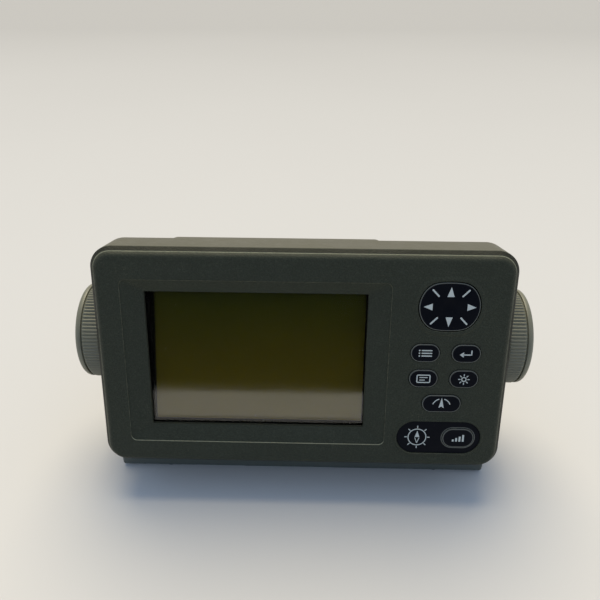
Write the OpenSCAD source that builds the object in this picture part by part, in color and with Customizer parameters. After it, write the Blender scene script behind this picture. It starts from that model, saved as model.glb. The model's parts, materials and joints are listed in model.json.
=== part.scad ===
// Satellite compass display unit on its tilting bracket, in millimetres.
// The origin is at the centre of the bracket's fixing holes, on the underside of its base.
// X runs to the right as the screen is read, Y away from the reader, Z up.

/* [Front panel] */
// Width of the panel to the left of the window's frame
frame_inset = 11.8; // [10:0.1:14]
// Width of the key field to the right of the window's frame
field_w = 54.9; // [52:0.1:60]
// Height of the panel over and under the window's frame
frame_margin = 11.95; // [10:0.05:14]
// Corner radius of the front panel
panel_r = 8.2; // [6:0.1:12]
// Radius of the rounded front edge
panel_edge = 1.6; // [0.8:0.1:2.2]
// Thickness of the panel's plate
plate_t = 3; // [2.6:0.1:3.2]
// How far the case stands outside the panel on every side
case_step = 2; // [1.2:0.1:3]
// Depth at which the sloped flange round the panel starts
flange_start = 2; // [1.6:0.1:2.2]
// Depth of the whole flange
flange_t = 4.7; // [4.4:0.1:5]

/* [Window and screen] */
// Width of the sloped border at the window's sides
border_w = 10.05; // [8:0.05:12]
// Height of the sloped border over and under the window
border_h = 6.8; // [5:0.1:8]
// How much lower the frame's centre is than the panel's
frame_drop = 0.8; // [0:0.1:1.5]
// Width of the window opening
window_w = 102.6; // [98:0.2:104]
// Height of the window opening
window_h = 67.4; // [62:0.2:68]
// Thickness of the clear window
window_t = 2; // [1.5:0.1:2.1]
// Width of the viewing area
view_w = 98.5; // [90:0.5:100]
// Height of the viewing area
view_h = 63; // [56:0.5:65]
// Thickness of the screen glass
glass_t = 2.2; // [1.6:0.1:2.3]
// Thickness of the backlight
backlight_t = 4.5; // [3:0.1:5]

/* [Keys and cursor pad] */
// How far the key columns' middle is left of the key field's middle
key_shift = 1.25; // [0:0.05:2]
// Width of an ordinary key
key_w = 13.3; // [12:0.1:14]
// Width of the heading key
wide_key_w = 18.2; // [16:0.1:20]
// Height of a key
key_h = 8.8; // [8:0.1:9]
// Distance between the two key columns
key_pitch_x = 18.8; // [18:0.1:19.5]
// Distance between the key rows
key_pitch_z = 12.8; // [12.6:0.1:13.2]
// How far a key travels when it is pressed
key_travel = 1; // [0.6:0.1:1]
// Radius of the cursor pad
pad_r = 13.75; // [13:0.05:14]
// Height of the cursor pad between its flat edges
pad_h = 23.1; // [22:0.1:24]
// Width of the oval legend plate
plate_w = 40; // [38:0.2:41]
// Height of the oval legend plate
plate_h = 16.9; // [15:0.1:17.2]

/* [Case] */
// Depth at which the full-size shoulder of the case ends
shoulder_depth = 24.7; // [22:0.1:26]
// Length of the slope behind the shoulder
slope_len = 10; // [8:0.5:12]
// How much narrower the case is behind the shoulder, on each side
tub_step_w = 8.2; // [7:0.1:9]
// How much lower the case is behind the shoulder, above and below
tub_step_h = 5.95; // [5:0.05:7]
// Depth of the case over its rear wall
tub_depth = 52.7; // [51:0.1:54]
// Wall thickness of the case
wall = 2.4; // [2:0.1:2.6]
// Width of the raised rear block
block_w = 118; // [110:1:124]
// Height of the raised rear block
block_h = 83; // [80:0.5:86]
// How far the rear block stands behind the case
block_len = 14; // [12:0.5:16]
// Height of the cooling fins
fin_len = 5; // [3:0.5:6]

/* [Bracket and tilt] */
// Height of the tilt axis over the base's underside, beyond half the case's height
base_gap = 11.75; // [11:0.05:16]
// Distance from the panel's face back to the tilt axis
axis_depth = 36.2; // [35.8:0.1:37]
// How much higher the tilt axis is than the panel's centre
axis_rise = 3; // [2:0.1:4]
// How far the display leans back on its bracket
rest_tilt = 15; // [0:1:30]
// How far the outside of each bracket arm stands from the case's side
arm_reach = 8.3; // [8.1:0.1:9]
// Depth of the bracket's base
base_d = 64; // [58:1:68]
// Thickness of the bracket's base
base_t = 4; // [3:0.1:4.4]
// Thickness of the bracket's arms
arm_t = 3; // [2.6:0.1:3.2]
// Width of the bracket's arms
arm_w = 36; // [32:1:37]
// Distance between the fixing holes, left to right
hole_pitch_x = 120; // [100:1:130]
// Distance between the fixing holes, front to back
hole_pitch_y = 40; // [34:1:44]
// Radius of a fixing hole
hole_r = 2.6; // [2:0.1:3]
// Radius of a rubber foot
foot_r = 4; // [3:0.1:4.4]
// Height of a rubber foot
foot_h = 1.8; // [1.7:0.1:3]

/* [Clamp knobs] */
// Radius of a knob over its ribs
knob_r = 24.5; // [22:0.1:25]
// Width of a knob's smooth inner flange
knob_flange_t = 1.8; // [1.4:0.1:2.4]
// Width of a knob's ribbed band
knurl_t = 8.4; // [7:0.1:10]
// Width of a knob's smooth outer rim
knob_rim_t = 3; // [2.4:0.1:4]
// Number of ribs round a knob
ribs = 90; // [60:1:96]
// Depth of the grooves between the ribs
rib_h = 0.6; // [0.3:0.1:0.8]
// Radius of a clamp stud
stud_r = 4; // [3.5:0.1:4.2]

/* [Hidden] */

$fn = 48;
// One overrun for all cuts, and the gaps between pieces that fit into each other
over = 1;
fit = 0.1;
loose = 0.3;
running = 0.08;
slice = 0.05;
coarse = 32;
fine = 96;
right_angle = 90;

body_color = [0.19, 0.21, 0.19];
shell_color = [0.3, 0.31, 0.27];
knob_color = [0.45, 0.47, 0.4];
key_color = [0.04, 0.05, 0.07];
rubber_color = [0.08, 0.08, 0.08];
metal_color = [0.72, 0.73, 0.74];
brass_color = [0.75, 0.6, 0.3];
board_color = [0.1, 0.35, 0.2];

// Outlines of the panel and the case
frame_w = window_w + 2 * border_w;
frame_h = window_h + 2 * border_h;
panel_w = frame_inset + frame_w + field_w;
panel_h = frame_h + 2 * frame_margin;
case_w = panel_w + 2 * case_step;
case_h = panel_h + 2 * case_step;
case_r = panel_r + case_step;
tub_w = case_w - 2 * tub_step_w;
tub_h = case_h - 2 * tub_step_h;
axis_h = case_h / 2 + base_gap;
bracket_w = tub_w + 2 * arm_reach;
edge_angles = [0, 30, 60, right_angle];
flange_foot = 0.25;
flange_edge = 0.47;
skirt_t = 1.8;
skirt_len = 3.3;
seal_t = 1;
skirt_inset = wall + 2 * fit;
seal_depth = flange_t + skirt_len;
ledge_depth = seal_depth + seal_t;
ledge_t = 2;
ledge_inset = wall + skirt_t + loose;

// Window frame, from the panel's left edge
frame_x = -panel_w / 2 + frame_inset + frame_w / 2;
frame_z = -frame_drop;
frame_r = 4.5;
frame_step = 0.4;
frame_fall = 2.3;
rim_w = 1.3;
rim_fall = 0.5;
lip_t = 1.5;
opening_depth = frame_step + frame_fall + rim_fall;
pocket_depth = opening_depth + lip_t;
pocket_margin = 1.7;
pocket_wall = 2;
pocket_len = 2.7;
gasket_t = 0.3;
gasket_w = 1.7;
window_depth = pocket_depth + gasket_t;
window_lap = pocket_margin - fit;

// Screen stack behind the window
lcd_depth = pocket_depth + pocket_len + loose;
lcd_sheet = 0.6;
lcd_border_x = 6.75;
lcd_border_z = 10.5;
lcd_w = view_w + 2 * lcd_border_x;
lcd_h = view_h + 2 * lcd_border_z;
lcd_len = 9.8;
glass_margin = 2.8;
glass_depth = lcd_depth + lcd_sheet + fit;
backlight_margin = 3.8;
backlight_depth = glass_depth + glass_t + 2 * fit;
board_t = 1.6;
boss_r = 3.2;
boss_gap = 1.3;
boss_x = lcd_w / 2 + boss_gap + boss_r;
boss_z = 30;
lcd_board_depth = lcd_depth + lcd_len + 2 * fit;
lcd_board_margin = 0.4;
lcd_board_w = 2 * (boss_x + boss_r + lcd_board_margin);
lcd_board_h = 76;
thread_r = 1.25;
thread_bore = 1.35;

// Keys: rows count down from the pad, columns are -1 and 1
key_x = panel_w / 2 - field_w / 2 - key_shift;
pad_inset = 23.05;
pad_z = panel_h / 2 - pad_inset;
first_row_drop = 22.4;
key_row_z = pad_z - first_row_drop;
heading_z = key_row_z - 2 * key_pitch_z;
key_proud = 0.5;
key_bevel = 0.4;
key_gap = 0.25;
key_flange = 1.1;
key_flange_t = 1.2;
key_flange_depth = plate_t + loose;
key_stem_r = 2;
key_stem_len = 2.4;
status_w = 14.9;
status_h = 9.8;
status_margin = 3.15;
status_shift = (plate_w - status_w) / 2 - status_margin;
legend_inset = 15.7;
legend_z = legend_inset - panel_h / 2;
legend_t = 0.8;
legend_gap = 0.15;
pad_gap = 0.45;
pad_flange = 1.3;
pad_flange_t = 0.8;
pad_swing = 1;
pad_flange_depth = plate_t + pad_swing;
pad_axis_depth = 5.7;
pad_dish = 0.5;
collar_w = 2.6;
collar_h = 0.35;
plunger_r = 1.4;
plunger_ring = 8.4;
plunger_len = 2.2;

// Rubber mat, key board and domes
mat_gap = 0.4;
mat_depth = key_flange_depth + key_flange_t + key_travel + mat_gap;
mat_t = 1;
mat_hole = 0.8;
mat_w = 40;
mat_h = 88;
mat_drop = 1;
mat_window_r = 11.5;
dome_r = 2.4;
dome_h = 1.2;
dome_gap = 0.2;
key_stem_end = key_flange_depth + key_flange_t + key_stem_len;
dome_depth = key_stem_end + key_travel + dome_gap;
key_board_depth = dome_depth + dome_h;
key_boss_x = 16.8;
key_boss_top = 16;
key_boss_low = -20;
key_boss_r = 2.3;

// Pad carrier and pivot
pivot_pin_r = 0.9;
pivot_bore_r = 0.95;
pivot_block = 2.6;
pivot_x_len = 10;
pivot_z_len = 6.6;
carrier_r = 5.4;
carrier_t = 1.2;
carrier_post_w = 3;
carrier_post_t = 1.3;
carrier_post_x = 4;
lug_w = 2.6;
lug_t = 1;
lug_z = 2.3;

// Case screws stand in the corners
screw_r = 1.5;
screw_head_r = 2.8;
screw_head_t = 2;
screw_inset_x = 11.7;
screw_inset_z = 7.95;
case_screw_x = panel_w / 2 - screw_inset_x;
case_screw_z = panel_h / 2 - screw_inset_z;
case_boss_r = 3;
case_boss_end = 14.7;
screw_clear = 0.2;
head_seat = 4;
screw_bite = 8;

// Side recess for the bracket's arm, concentric with the tilt axis
recess_r = 24.5;
recess_floor = tub_w / 2;
tub_r = 5;
side_boss_r = 16;
arm_gap = 1.3;
friction_t = 1.1;
friction_r = 15;
side_boss_x = bracket_w / 2 - arm_t - arm_gap;
insert_r = 6.5;
insert_len = 8.5;
insert_x = recess_floor - insert_len;
insert_root_r = 8;

// Bracket
head_r = 18;
base_r = 2;
bend_r = 2.5;
bush_t = 1.5;
bush_gap = 0.05;
foot_inset_x = 25.8;
foot_inset_y = 5;
arm_x = bracket_w / 2 - arm_t;

// Knobs
knob_gap = 0.3;
knob_x = bracket_w / 2 + knob_gap;
knob_wall = 2.4;
knob_hub_r = 10;
groove_w = 0.5;
groove_h = 0.7;
knob_edge = 2.2;
rim_drop = 0.2;
knob_len = knob_flange_t + knurl_t + 2 * groove_w + knob_rim_t;
washer_t = 1.3;
washer_r = 14;
washer_seat = washer_t - fit;
cap_r = 13;
cap_t = 1.2;
stud_in = 8.5;
stud_head_r = 7;
stud_head_t = 4.5;
stud_head_x = knob_x + knob_len - cap_t - stud_head_t - loose;

// Rear block
block_x = -16;
block_drop = 1.5;
block_top = tub_h / 2 - block_drop;
block_z = block_top - block_h / 2;
block_wall = 2.8;
block_r = 5;
cover_seal_t = 0.8;
cover_depth = tub_depth + cover_seal_t;
cover_end = cover_depth + block_len - cover_seal_t;
hatch_margin = 7;
cover_screw_inset = 4.2;
cover_screw_drop = 12;
fin_t = 2;
fin_pitch = 6.4;
fin_margin = 8;
fin_low = 6;

// Connectors, side by side on the rear block
plug_z = -14;
plug_share = 4.4;
plug_pitch = block_w / plug_share;
plug_r = 8;
plug_bore = 6.2;
plug_len = 11;
plug_flange_r = 10.5;
plug_flange_t = 2;
plug_neck_r = 7;
plug_tail = 7;
plug_ring_t = 0.8;
plug_ring_pitch = 1.8;
plug_ring_h = 0.45;
plug_rings = 4;
insert_back = 1.2;
pin_r = 0.6;
pin_gap = 0.05;
pin_ring_r = 3.8;
pin_proud = 0.4;
pin_tail = 2.5;
plug_nut_r = 10;
plug_nut_t = 2.2;
fitting_inset = 12;
fitting_drop = 14;
ground_x = block_x + block_w / 2 - fitting_inset;
ground_z = plug_z - fitting_drop;
ground_r = 2;
ground_len = 10;
ground_tail = 5;
ground_nut_r = 3.9;
ground_nut_t = 3;
ground_washer_r = 4.6;
ground_washer_t = 0.8;
vent_x = block_x - block_w / 2 + fitting_inset;
vent_z = plug_z - fitting_drop;
vent_r = 3.6;
vent_head_r = 4.6;
vent_head_t = 1;

// Boards behind the screen
spacer_len = 7;
spacer_r = 2.7;
main_depth = lcd_board_depth + board_t + spacer_len;
main_extra_w = 29.8;
main_w = lcd_board_w + main_extra_w;
chip_t = 2;
power_margin = 26;
power_w = block_w - power_margin;
power_h = 60;
power_z = 4;
power_gap = 18;
power_depth = cover_end - block_wall - power_gap - board_t;
post_r = 3;
post_inset = 4;
small_head_r = 2.5;
small_head_t = 1.6;
small_screw_len = 6;
battery_r = 10;
battery_t = 4;
buzzer_r = 6;
buzzer_t = 7;
capacitor_r = 4.5;
capacitor_len = 13;
coil_w = 22;
coil_h = 18;
coil_t = 13;
spreader_w = 50;
spreader_t = 2;
spreader_leg = 9;
cable_t = 0.4;
cable_w = 36;
key_cable_w = 16;
cable_leg = 3;

// Puts a piece drawn behind the panel's face, centre at the panel's centre, onto the tilted display
module on_display() {
    translate([0, 0, axis_h])
        rotate([-rest_tilt, 0, 0])
            translate([0, -axis_depth, -axis_rise])
                children();
}

// Extrudes an outline of x and z from depth a to depth b
module slab(a, b) {
    translate([0, b, 0])
        rotate([right_angle, 0, 0])
            linear_extrude(b - a)
                children();
}

// Extrudes an outline of depth and z from x = a to x = b
module across(a, b) {
    translate([a, 0, 0])
        rotate([right_angle, 0, right_angle])
            linear_extrude(b - a)
                children();
}

// A round bar along the depth, from a to b
module bar(r, a, b) {
    slab(a, b) circle(r);
}

// Two copies, left and right
module both_sides() {
    children();
    mirror([1, 0, 0]) children();
}

// Four copies at the corners of a rectangle in x and z
module corners(x, z) {
    for (sx = [-1, 1], sz = [-1, 1])
        translate([sx * x, 0, sz * z])
            children();
}

module rounded(w, h, r) {
    square([w - 2 * r, h], center = true);
    square([w, h - 2 * r], center = true);
    for (sx = [-1, 1], sy = [-1, 1])
        translate([sx * (w / 2 - r), sy * (h / 2 - r)])
            circle(r);
}

// The same outline, grown by g on every side
module rounded_grown(w, h, r, g) {
    rounded(w + 2 * g, h + 2 * g, r + g);
}

module ring(w, h, r, inset) {
    difference() {
        rounded(w, h, r);
        rounded(w - 2 * inset, h - 2 * inset, max(r - inset, slice));
    }
}

// A round-ended outline, grown by g
module stadium(w, h, g = 0) {
    square([w - h, h + 2 * g], center = true);
    for (s = [-1, 1])
        translate([s * (w - h) / 2, 0])
            circle(h / 2 + g);
}

// The cursor pad's outline: a circle with its top and bottom cut flat, grown by g
module pad_outline(g = 0) {
    intersection() {
        circle(pad_r + g);
        square([2 * (pad_r + g) + over, pad_h + 2 * g], center = true);
    }
}

module disc(w, h, r, depth, grow = 0) {
    slab(depth, depth + slice)
        rounded_grown(w, h, r, grow, $fn = coarse);
}

// Places in the key field, from the panel's centre
function column_x(c) = key_x + c * key_pitch_x / 2;
function row_z(r) = key_row_z - r * key_pitch_z;
KEYS = [
    ["menu", column_x(-1), row_z(0), key_w, key_h],
    ["enter", column_x(1), row_z(0), key_w, key_h],
    ["display", column_x(-1), row_z(1), key_w, key_h],
    ["dimmer", column_x(1), row_z(1), key_w, key_h],
    ["heading", key_x, heading_z, wide_key_w, key_h],
    ["status", key_x + status_shift, legend_z, status_w, status_h]
];

module at_key(k) {
    translate([k[1], 0, k[2]]) children();
}

module at_pad() {
    translate([key_x, 0, pad_z]) children();
}

module at_window() {
    translate([frame_x, 0, 0]) children();
}

module key_bosses_at() {
    for (sx = [-1, 1], z = [key_boss_low, key_boss_top])
        translate([key_x + sx * key_boss_x, 0, z])
            children();
}

module lcd_bosses_at() {
    at_window() corners(boss_x, boss_z) children();
}

// Bracket

module arm_outline(w) {
    circle(head_r);
    translate([-w / 2, -axis_h]) square([w, axis_h]);
}

module mounting_bracket() {
    color(body_color) difference() {
        union() {
            linear_extrude(base_t) rounded(bracket_w, base_d, base_r);
            both_sides() {
                translate([0, 0, axis_h]) across(arm_x, bracket_w / 2) arm_outline(arm_w, $fn = fine);
                translate([arm_x, -arm_w / 2, base_t]) rotate([-right_angle, 0, 0])
                    linear_extrude(arm_w) difference() {
                        translate([-bend_r, -bend_r]) square([bend_r, bend_r]);
                        translate([-bend_r, -bend_r]) circle(bend_r);
                    }
            }
            // The base's ends are square where the arms stand
            both_sides()
                translate([arm_x, -arm_w / 2, 0]) cube([arm_t, arm_w, base_t]);
        }
        both_sides()
            translate([0, 0, axis_h]) across(arm_x - over, bracket_w / 2 + over) circle(stud_r + running + bush_t);
        for (sx = [-1, 1], sy = [-1, 1])
            translate([sx * hole_pitch_x / 2, sy * hole_pitch_y / 2, -over])
                cylinder(r = hole_r, h = base_t + 2 * over);
    }
}

module arm_bushes() {
    color(metal_color) both_sides() translate([0, 0, axis_h]) across(arm_x, bracket_w / 2) difference() {
        circle(stud_r + running + bush_t - bush_gap);
        circle(stud_r + running);
    }
}

module rubber_feet() {
    color(rubber_color)
        for (sx = [-1, 1], sy = [-1, 1])
            translate([sx * (bracket_w / 2 - foot_inset_x), sy * (base_d / 2 - foot_inset_y), -foot_h])
                cylinder(r = foot_r, h = foot_h);
}

// Front panel

module panel_shell() {
    // The flat pad with its rounded front edge
    hull() {
        for (angle = edge_angles)
            disc(panel_w, panel_h, panel_r, panel_edge * (1 - cos(angle)), -panel_edge * (1 - sin(angle)));
        disc(panel_w, panel_h, panel_r, flange_start);
    }
    // The sloped flange that meets the case
    hull() {
        disc(panel_w, panel_h, panel_r, flange_start, flange_foot);
        disc(case_w, case_h, case_r, flange_t - flange_edge);
    }
    slab(flange_t - flange_edge, flange_t) rounded(case_w, case_h, case_r);
    slab(flange_t - over, seal_depth)
        ring(case_w - 2 * skirt_inset, case_h - 2 * skirt_inset, case_r - skirt_inset, skirt_t);
}

module window_cut() {
    translate([frame_x, 0, frame_z])
        slab(-over, frame_step) rounded(frame_w, frame_h, frame_r);
    hull() {
        translate([frame_x, 0, frame_z])
            disc(frame_w, frame_h, frame_r, frame_step - slice);
        at_window() disc(window_w + 2 * rim_w, window_h + 2 * rim_w, rim_w, frame_step + frame_fall);
    }
    hull() {
        at_window() disc(window_w + 2 * rim_w, window_h + 2 * rim_w, rim_w, frame_step + frame_fall - slice);
        at_window() disc(window_w, window_h, rim_w / 2, opening_depth);
    }
    at_window() slab(opening_depth - over, pocket_depth + over) rounded(window_w, window_h, rim_w / 2);
    at_window() slab(pocket_depth, seal_depth + lcd_len)
        square([window_w + 2 * pocket_margin + 2 * fit, window_h + 2 * pocket_margin + 2 * fit], center = true);
}

module front_panel() {
    color(body_color) on_display() difference() {
        union() {
            difference() {
                panel_shell();
                // Hollow behind the plate
                slab(plate_t, seal_depth + over)
                    rounded_grown(case_w, case_h, case_r, -skirt_inset - skirt_t);
            }
            // The window frame is thicker and carries the window's pocket
            translate([frame_x, 0, frame_z])
                slab(plate_t - over, pocket_depth) rounded_grown(frame_w, frame_h, frame_r, slice);
            at_window() slab(pocket_depth - over, pocket_depth + pocket_len)
                square([window_w + 2 * (pocket_margin + pocket_wall), window_h + 2 * (pocket_margin + pocket_wall)],
                    center = true);
            lcd_bosses_at() bar(boss_r, plate_t - over, lcd_board_depth);
            corners(case_screw_x, case_screw_z) bar(case_boss_r, plate_t - over, case_boss_end);
            key_bosses_at() bar(key_boss_r, plate_t - over, key_board_depth);
            // Low collars round the pad and the legend plate
            at_pad() difference() {
                slab(-collar_h, plate_t) pad_outline(collar_w);
                slab(-over, plate_t + over) pad_outline(pad_gap + slice);
            }
            translate([key_x, 0, legend_z]) difference() {
                slab(-collar_h, plate_t) stadium(plate_w, plate_h, collar_w / 2);
                slab(-over, plate_t + over) stadium(plate_w, plate_h, legend_gap + slice);
            }
            translate([key_x, 0, legend_z]) slab(legend_t + legend_gap, plate_t)
                stadium(plate_w, plate_h, collar_w / 2);
        }
        window_cut();
        for (k = KEYS) at_key(k) slab(-over, plate_t + over) stadium(k[3], k[4], key_gap);
        at_pad() slab(-over, plate_t + over) pad_outline(pad_gap);
        translate([key_x, 0, legend_z])
            slab(-over, legend_t + legend_gap) stadium(plate_w, plate_h, legend_gap);
        lcd_bosses_at() bar(thread_bore, pocket_depth, lcd_board_depth + over);
        corners(case_screw_x, case_screw_z) bar(screw_r + slice, case_boss_end - screw_bite, case_boss_end + over);
        key_bosses_at() bar(thread_bore, plate_t + slice, key_board_depth + over);
    }
}

module display_window() {
    color([0.5, 0.55, 0.55, 0.4]) on_display() at_window()
        slab(window_depth, window_depth + window_t)
            square([window_w + 2 * window_lap, window_h + 2 * window_lap], center = true);
}

module window_gasket() {
    color(rubber_color) on_display() at_window()
        slab(pocket_depth, window_depth) difference() {
            square([window_w + 2 * window_lap, window_h + 2 * window_lap], center = true);
            square([window_w + 2 * (window_lap - gasket_w) + gasket_t,
                window_h + 2 * (window_lap - gasket_w) + gasket_t], center = true);
        }
}

// Screen

module lcd_frame() {
    color(rubber_color) on_display() at_window() difference() {
        slab(lcd_depth, lcd_depth + lcd_len) square([lcd_w, lcd_h], center = true);
        slab(lcd_depth - over, lcd_depth + lcd_len) square([view_w, view_h], center = true);
        slab(lcd_depth + lcd_sheet, lcd_depth + lcd_len + over)
            square([lcd_w - 2 * lcd_sheet, lcd_h - 2 * lcd_sheet], center = true);
    }
}

module lcd_glass() {
    color([0.14, 0.15, 0.05]) on_display() at_window()
        slab(glass_depth, glass_depth + glass_t)
            square([view_w + 2 * glass_margin, view_h + 2 * glass_margin], center = true);
}

module backlight_panel() {
    color([0.8, 0.85, 0.8]) on_display() at_window()
        slab(backlight_depth, backlight_depth + backlight_t)
            square([view_w + 2 * backlight_margin, view_h + 2 * backlight_margin], center = true);
}

module lcd_board() {
    color(board_color) on_display() difference() {
        at_window() slab(lcd_board_depth, lcd_board_depth + board_t)
            square([lcd_board_w, lcd_board_h], center = true);
        lcd_bosses_at() bar(thread_bore, lcd_board_depth - over, lcd_board_depth + board_t + over);
    }
}

// Keys

module legend_plate() {
    color(key_color) on_display() difference() {
        translate([key_x, 0, legend_z]) slab(0, legend_t) stadium(plate_w, plate_h);
        at_key(KEYS[5]) slab(-over, legend_t + over) stadium(status_w, status_h, key_gap);
    }
}

module key_button(k) {
    w = k[3];
    h = k[4];
    color(key_color) on_display() at_key(k) {
        slab(-key_proud, -key_proud + key_bevel) stadium(w, h, -key_bevel);
        slab(-key_proud + key_bevel, key_flange_depth) stadium(w, h);
        slab(key_flange_depth, key_flange_depth + key_flange_t) stadium(w, h, key_flange);
        bar(key_stem_r, key_flange_depth + key_flange_t, key_stem_end);
    }
}

module cursor_pad() {
    color(key_color) on_display() at_pad() difference() {
        union() {
            slab(-key_proud, -key_proud + key_bevel) pad_outline(-key_bevel);
            slab(-key_proud + key_bevel, pad_flange_depth) pad_outline();
            slab(pad_flange_depth, pad_flange_depth + pad_flange_t) pad_outline(pad_flange);
            for (a = [0, right_angle, 2 * right_angle, 3 * right_angle])
                rotate([0, a, 0]) translate([plunger_ring, 0, 0])
                    bar(plunger_r, pad_flange_depth, pad_flange_depth + pad_flange_t + plunger_len);
        }
        // Hollow for the carrier's posts
        bar(carrier_r, plate_t - 2 * key_bevel, dome_depth);
        // Shallow thumb dish
        translate([0, -2 * pad_r - key_proud + pad_dish, 0]) sphere(r = 2 * pad_r, $fn = fine);
    }
    // Two lugs with bores for the pivot's upright pin
    color(key_color) on_display() at_pad() translate([0, pad_axis_depth, 0]) difference() {
        for (s = [-1, 1])
            translate([-lug_w / 2, plate_t - 2 * key_bevel - pad_axis_depth - slice,
                s * (lug_z + lug_t / 2) - lug_t / 2])
                cube([lug_w, pad_axis_depth - plate_t + 2 * key_bevel + slice + lug_w / 2, lug_t]);
        cylinder(r = pivot_bore_r, h = 2 * carrier_r, center = true);
    }
}

module pad_pivot() {
    color(metal_color) on_display() at_pad() translate([0, pad_axis_depth, 0]) {
        cube([pivot_block, pivot_block, pivot_block], center = true);
        cylinder(r = pivot_pin_r, h = pivot_z_len, center = true);
        rotate([0, right_angle, 0]) cylinder(r = pivot_pin_r, h = pivot_x_len, center = true);
    }
}

module pad_carrier() {
    color(key_color) on_display() at_pad() difference() {
        union() {
            bar(carrier_r, key_board_depth - carrier_t, key_board_depth);
            for (s = [-1, 1])
                translate([s * carrier_post_x - carrier_post_t / 2, pad_axis_depth - carrier_post_w / 2,
                    -carrier_post_w / 2])
                    cube([carrier_post_t, key_board_depth - pad_axis_depth + carrier_post_w / 2 - slice,
                        carrier_post_w]);
        }
        translate([0, pad_axis_depth, 0]) rotate([0, right_angle, 0])
            cylinder(r = pivot_bore_r, h = 2 * carrier_r + over, center = true);
    }
}

module key_mat() {
    color([0.25, 0.25, 0.25]) on_display() difference() {
        translate([key_x, 0, -mat_drop]) slab(mat_depth, mat_depth + mat_t)
            square([mat_w, mat_h], center = true);
        for (k = KEYS) at_key(k) bar(key_stem_r + mat_hole, mat_depth - over, mat_depth + mat_t + over);
        at_pad() bar(mat_window_r, mat_depth - over, mat_depth + mat_t + over);
        key_bosses_at() bar(key_boss_r + fit, mat_depth - over, mat_depth + mat_t + over);
        corners(case_screw_x, case_screw_z)
            bar(case_boss_r + loose, mat_depth - over, mat_depth + mat_t + over);
    }
}

module key_board() {
    color(board_color) on_display() difference() {
        translate([key_x, 0, -mat_drop]) slab(key_board_depth, key_board_depth + board_t)
            square([mat_w, mat_h], center = true);
        key_bosses_at() bar(thread_bore, key_board_depth - over, key_board_depth + board_t + over);
        corners(case_screw_x, case_screw_z)
            bar(case_boss_r + loose, key_board_depth - over, key_board_depth + board_t + over);
    }
}

module dome_switches() {
    color(metal_color) on_display() {
        for (k = KEYS) at_key(k) bar(dome_r, dome_depth, key_board_depth);
        for (a = [0, right_angle, 2 * right_angle, 3 * right_angle])
            at_pad() rotate([0, a, 0]) translate([plunger_ring, 0, 0]) bar(dome_r, dome_depth, key_board_depth);
    }
}

// Case

// Side view of the space that a bracket arm sweeps, grown by g
module recess_outline(g = 0) {
    translate([axis_depth, axis_rise]) {
        circle(recess_r + g, $fn = fine);
        translate([-recess_r - g, -case_h]) square([recess_r + g + tub_depth, case_h]);
        translate([0, -case_h]) square([tub_depth, case_h + recess_r + g]);
    }
}

module recesses(g = 0) {
    both_sides() across(recess_floor - g, case_w) recess_outline(g);
}

module case_outer() {
    difference() {
        union() {
            slab(flange_t, shoulder_depth) rounded(case_w, case_h, case_r);
            hull() {
                disc(case_w, case_h, case_r, shoulder_depth - slice);
                disc(tub_w, tub_h, tub_r, shoulder_depth + slope_len);
            }
        }
        recesses();
    }
    slab(flange_t + over, tub_depth) rounded(tub_w, tub_h, tub_r);
}

module case_inner() {
    slab(flange_t - over, ledge_depth) rounded_grown(case_w, case_h, case_r, -wall);
    difference() {
        union() {
            slab(ledge_depth - over, ledge_depth + ledge_t)
                rounded_grown(case_w, case_h, case_r, -ledge_inset);
            slab(ledge_depth + ledge_t - slice, shoulder_depth - wall)
                rounded_grown(case_w, case_h, case_r, -wall);
        }
        recesses(wall);
    }
    slab(ledge_depth - over, tub_depth - wall) rounded_grown(tub_w, tub_h, tub_r, -wall);
}

module rear_housing() {
    color(shell_color) on_display() difference() {
        union() {
            difference() {
                case_outer();
                case_inner();
            }
            // Columns for the case screws
            intersection() {
                corners(case_screw_x, case_screw_z)
                    bar(case_boss_r, case_boss_end + 2 * fit, tub_depth);
                union() {
                    slab(0, tub_depth) rounded(tub_w, tub_h, tub_r);
                    slab(0, shoulder_depth) rounded(tub_w, case_h - wall, tub_r);
                }
            }
            // Bosses that carry the clamp studs
            both_sides() translate([0, axis_depth, axis_rise]) {
                across_axis(side_boss_r, recess_floor - wall, side_boss_x);
                across_axis(insert_root_r, insert_x - wall, recess_floor);
            }
        }
        both_sides() translate([0, axis_depth, axis_rise])
            across_axis(insert_r, insert_x, side_boss_x + over);
        corners(case_screw_x, case_screw_z) {
            bar(screw_r + screw_clear, case_boss_end, tub_depth + over);
            bar(screw_head_r + screw_clear, tub_depth - head_seat, tub_depth + over);
        }
        // Opening into the rear block
        translate([block_x, 0, hatch_z()]) slab(tub_depth - wall - over, tub_depth + over)
            rounded(block_w - 2 * hatch_margin, hatch_h(), block_r);
        cover_screws_at() bar(thread_r + slice, tub_depth - wall - over, tub_depth + over);
    }
}

// A round bar along x, about the local origin
module across_axis(r, a, b) {
    translate([a, 0, 0]) rotate([0, right_angle, 0]) cylinder(r = r, h = b - a);
}

function seat_top() = block_top;
function seat_low() = block_z - block_h / 2;
function hatch_h() = seat_top() - seat_low() - 2 * hatch_margin;
function hatch_z() = (seat_top() + seat_low()) / 2;

module cover_screws_at() {
    for (sx = [-1, 1], z = [seat_low() + cover_screw_inset, seat_top() - cover_screw_drop])
        translate([block_x + sx * (block_w / 2 - cover_screw_inset), 0, z])
            children();
}

module case_seal() {
    color(rubber_color) on_display() slab(seal_depth, ledge_depth)
        ring(case_w - 2 * skirt_inset, case_h - 2 * skirt_inset, case_r - skirt_inset, skirt_t);
}

module cover_seal() {
    color(rubber_color) on_display() difference() {
        translate([block_x, 0, (seat_top() + seat_low()) / 2]) slab(tub_depth, cover_depth) difference() {
            rounded(block_w, seat_top() - seat_low(), block_r);
            rounded(block_w - 2 * hatch_margin, hatch_h(), block_r);
        }
        cover_screws_at() bar(screw_r + screw_clear, tub_depth - over, cover_depth + over);
    }
}

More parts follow.
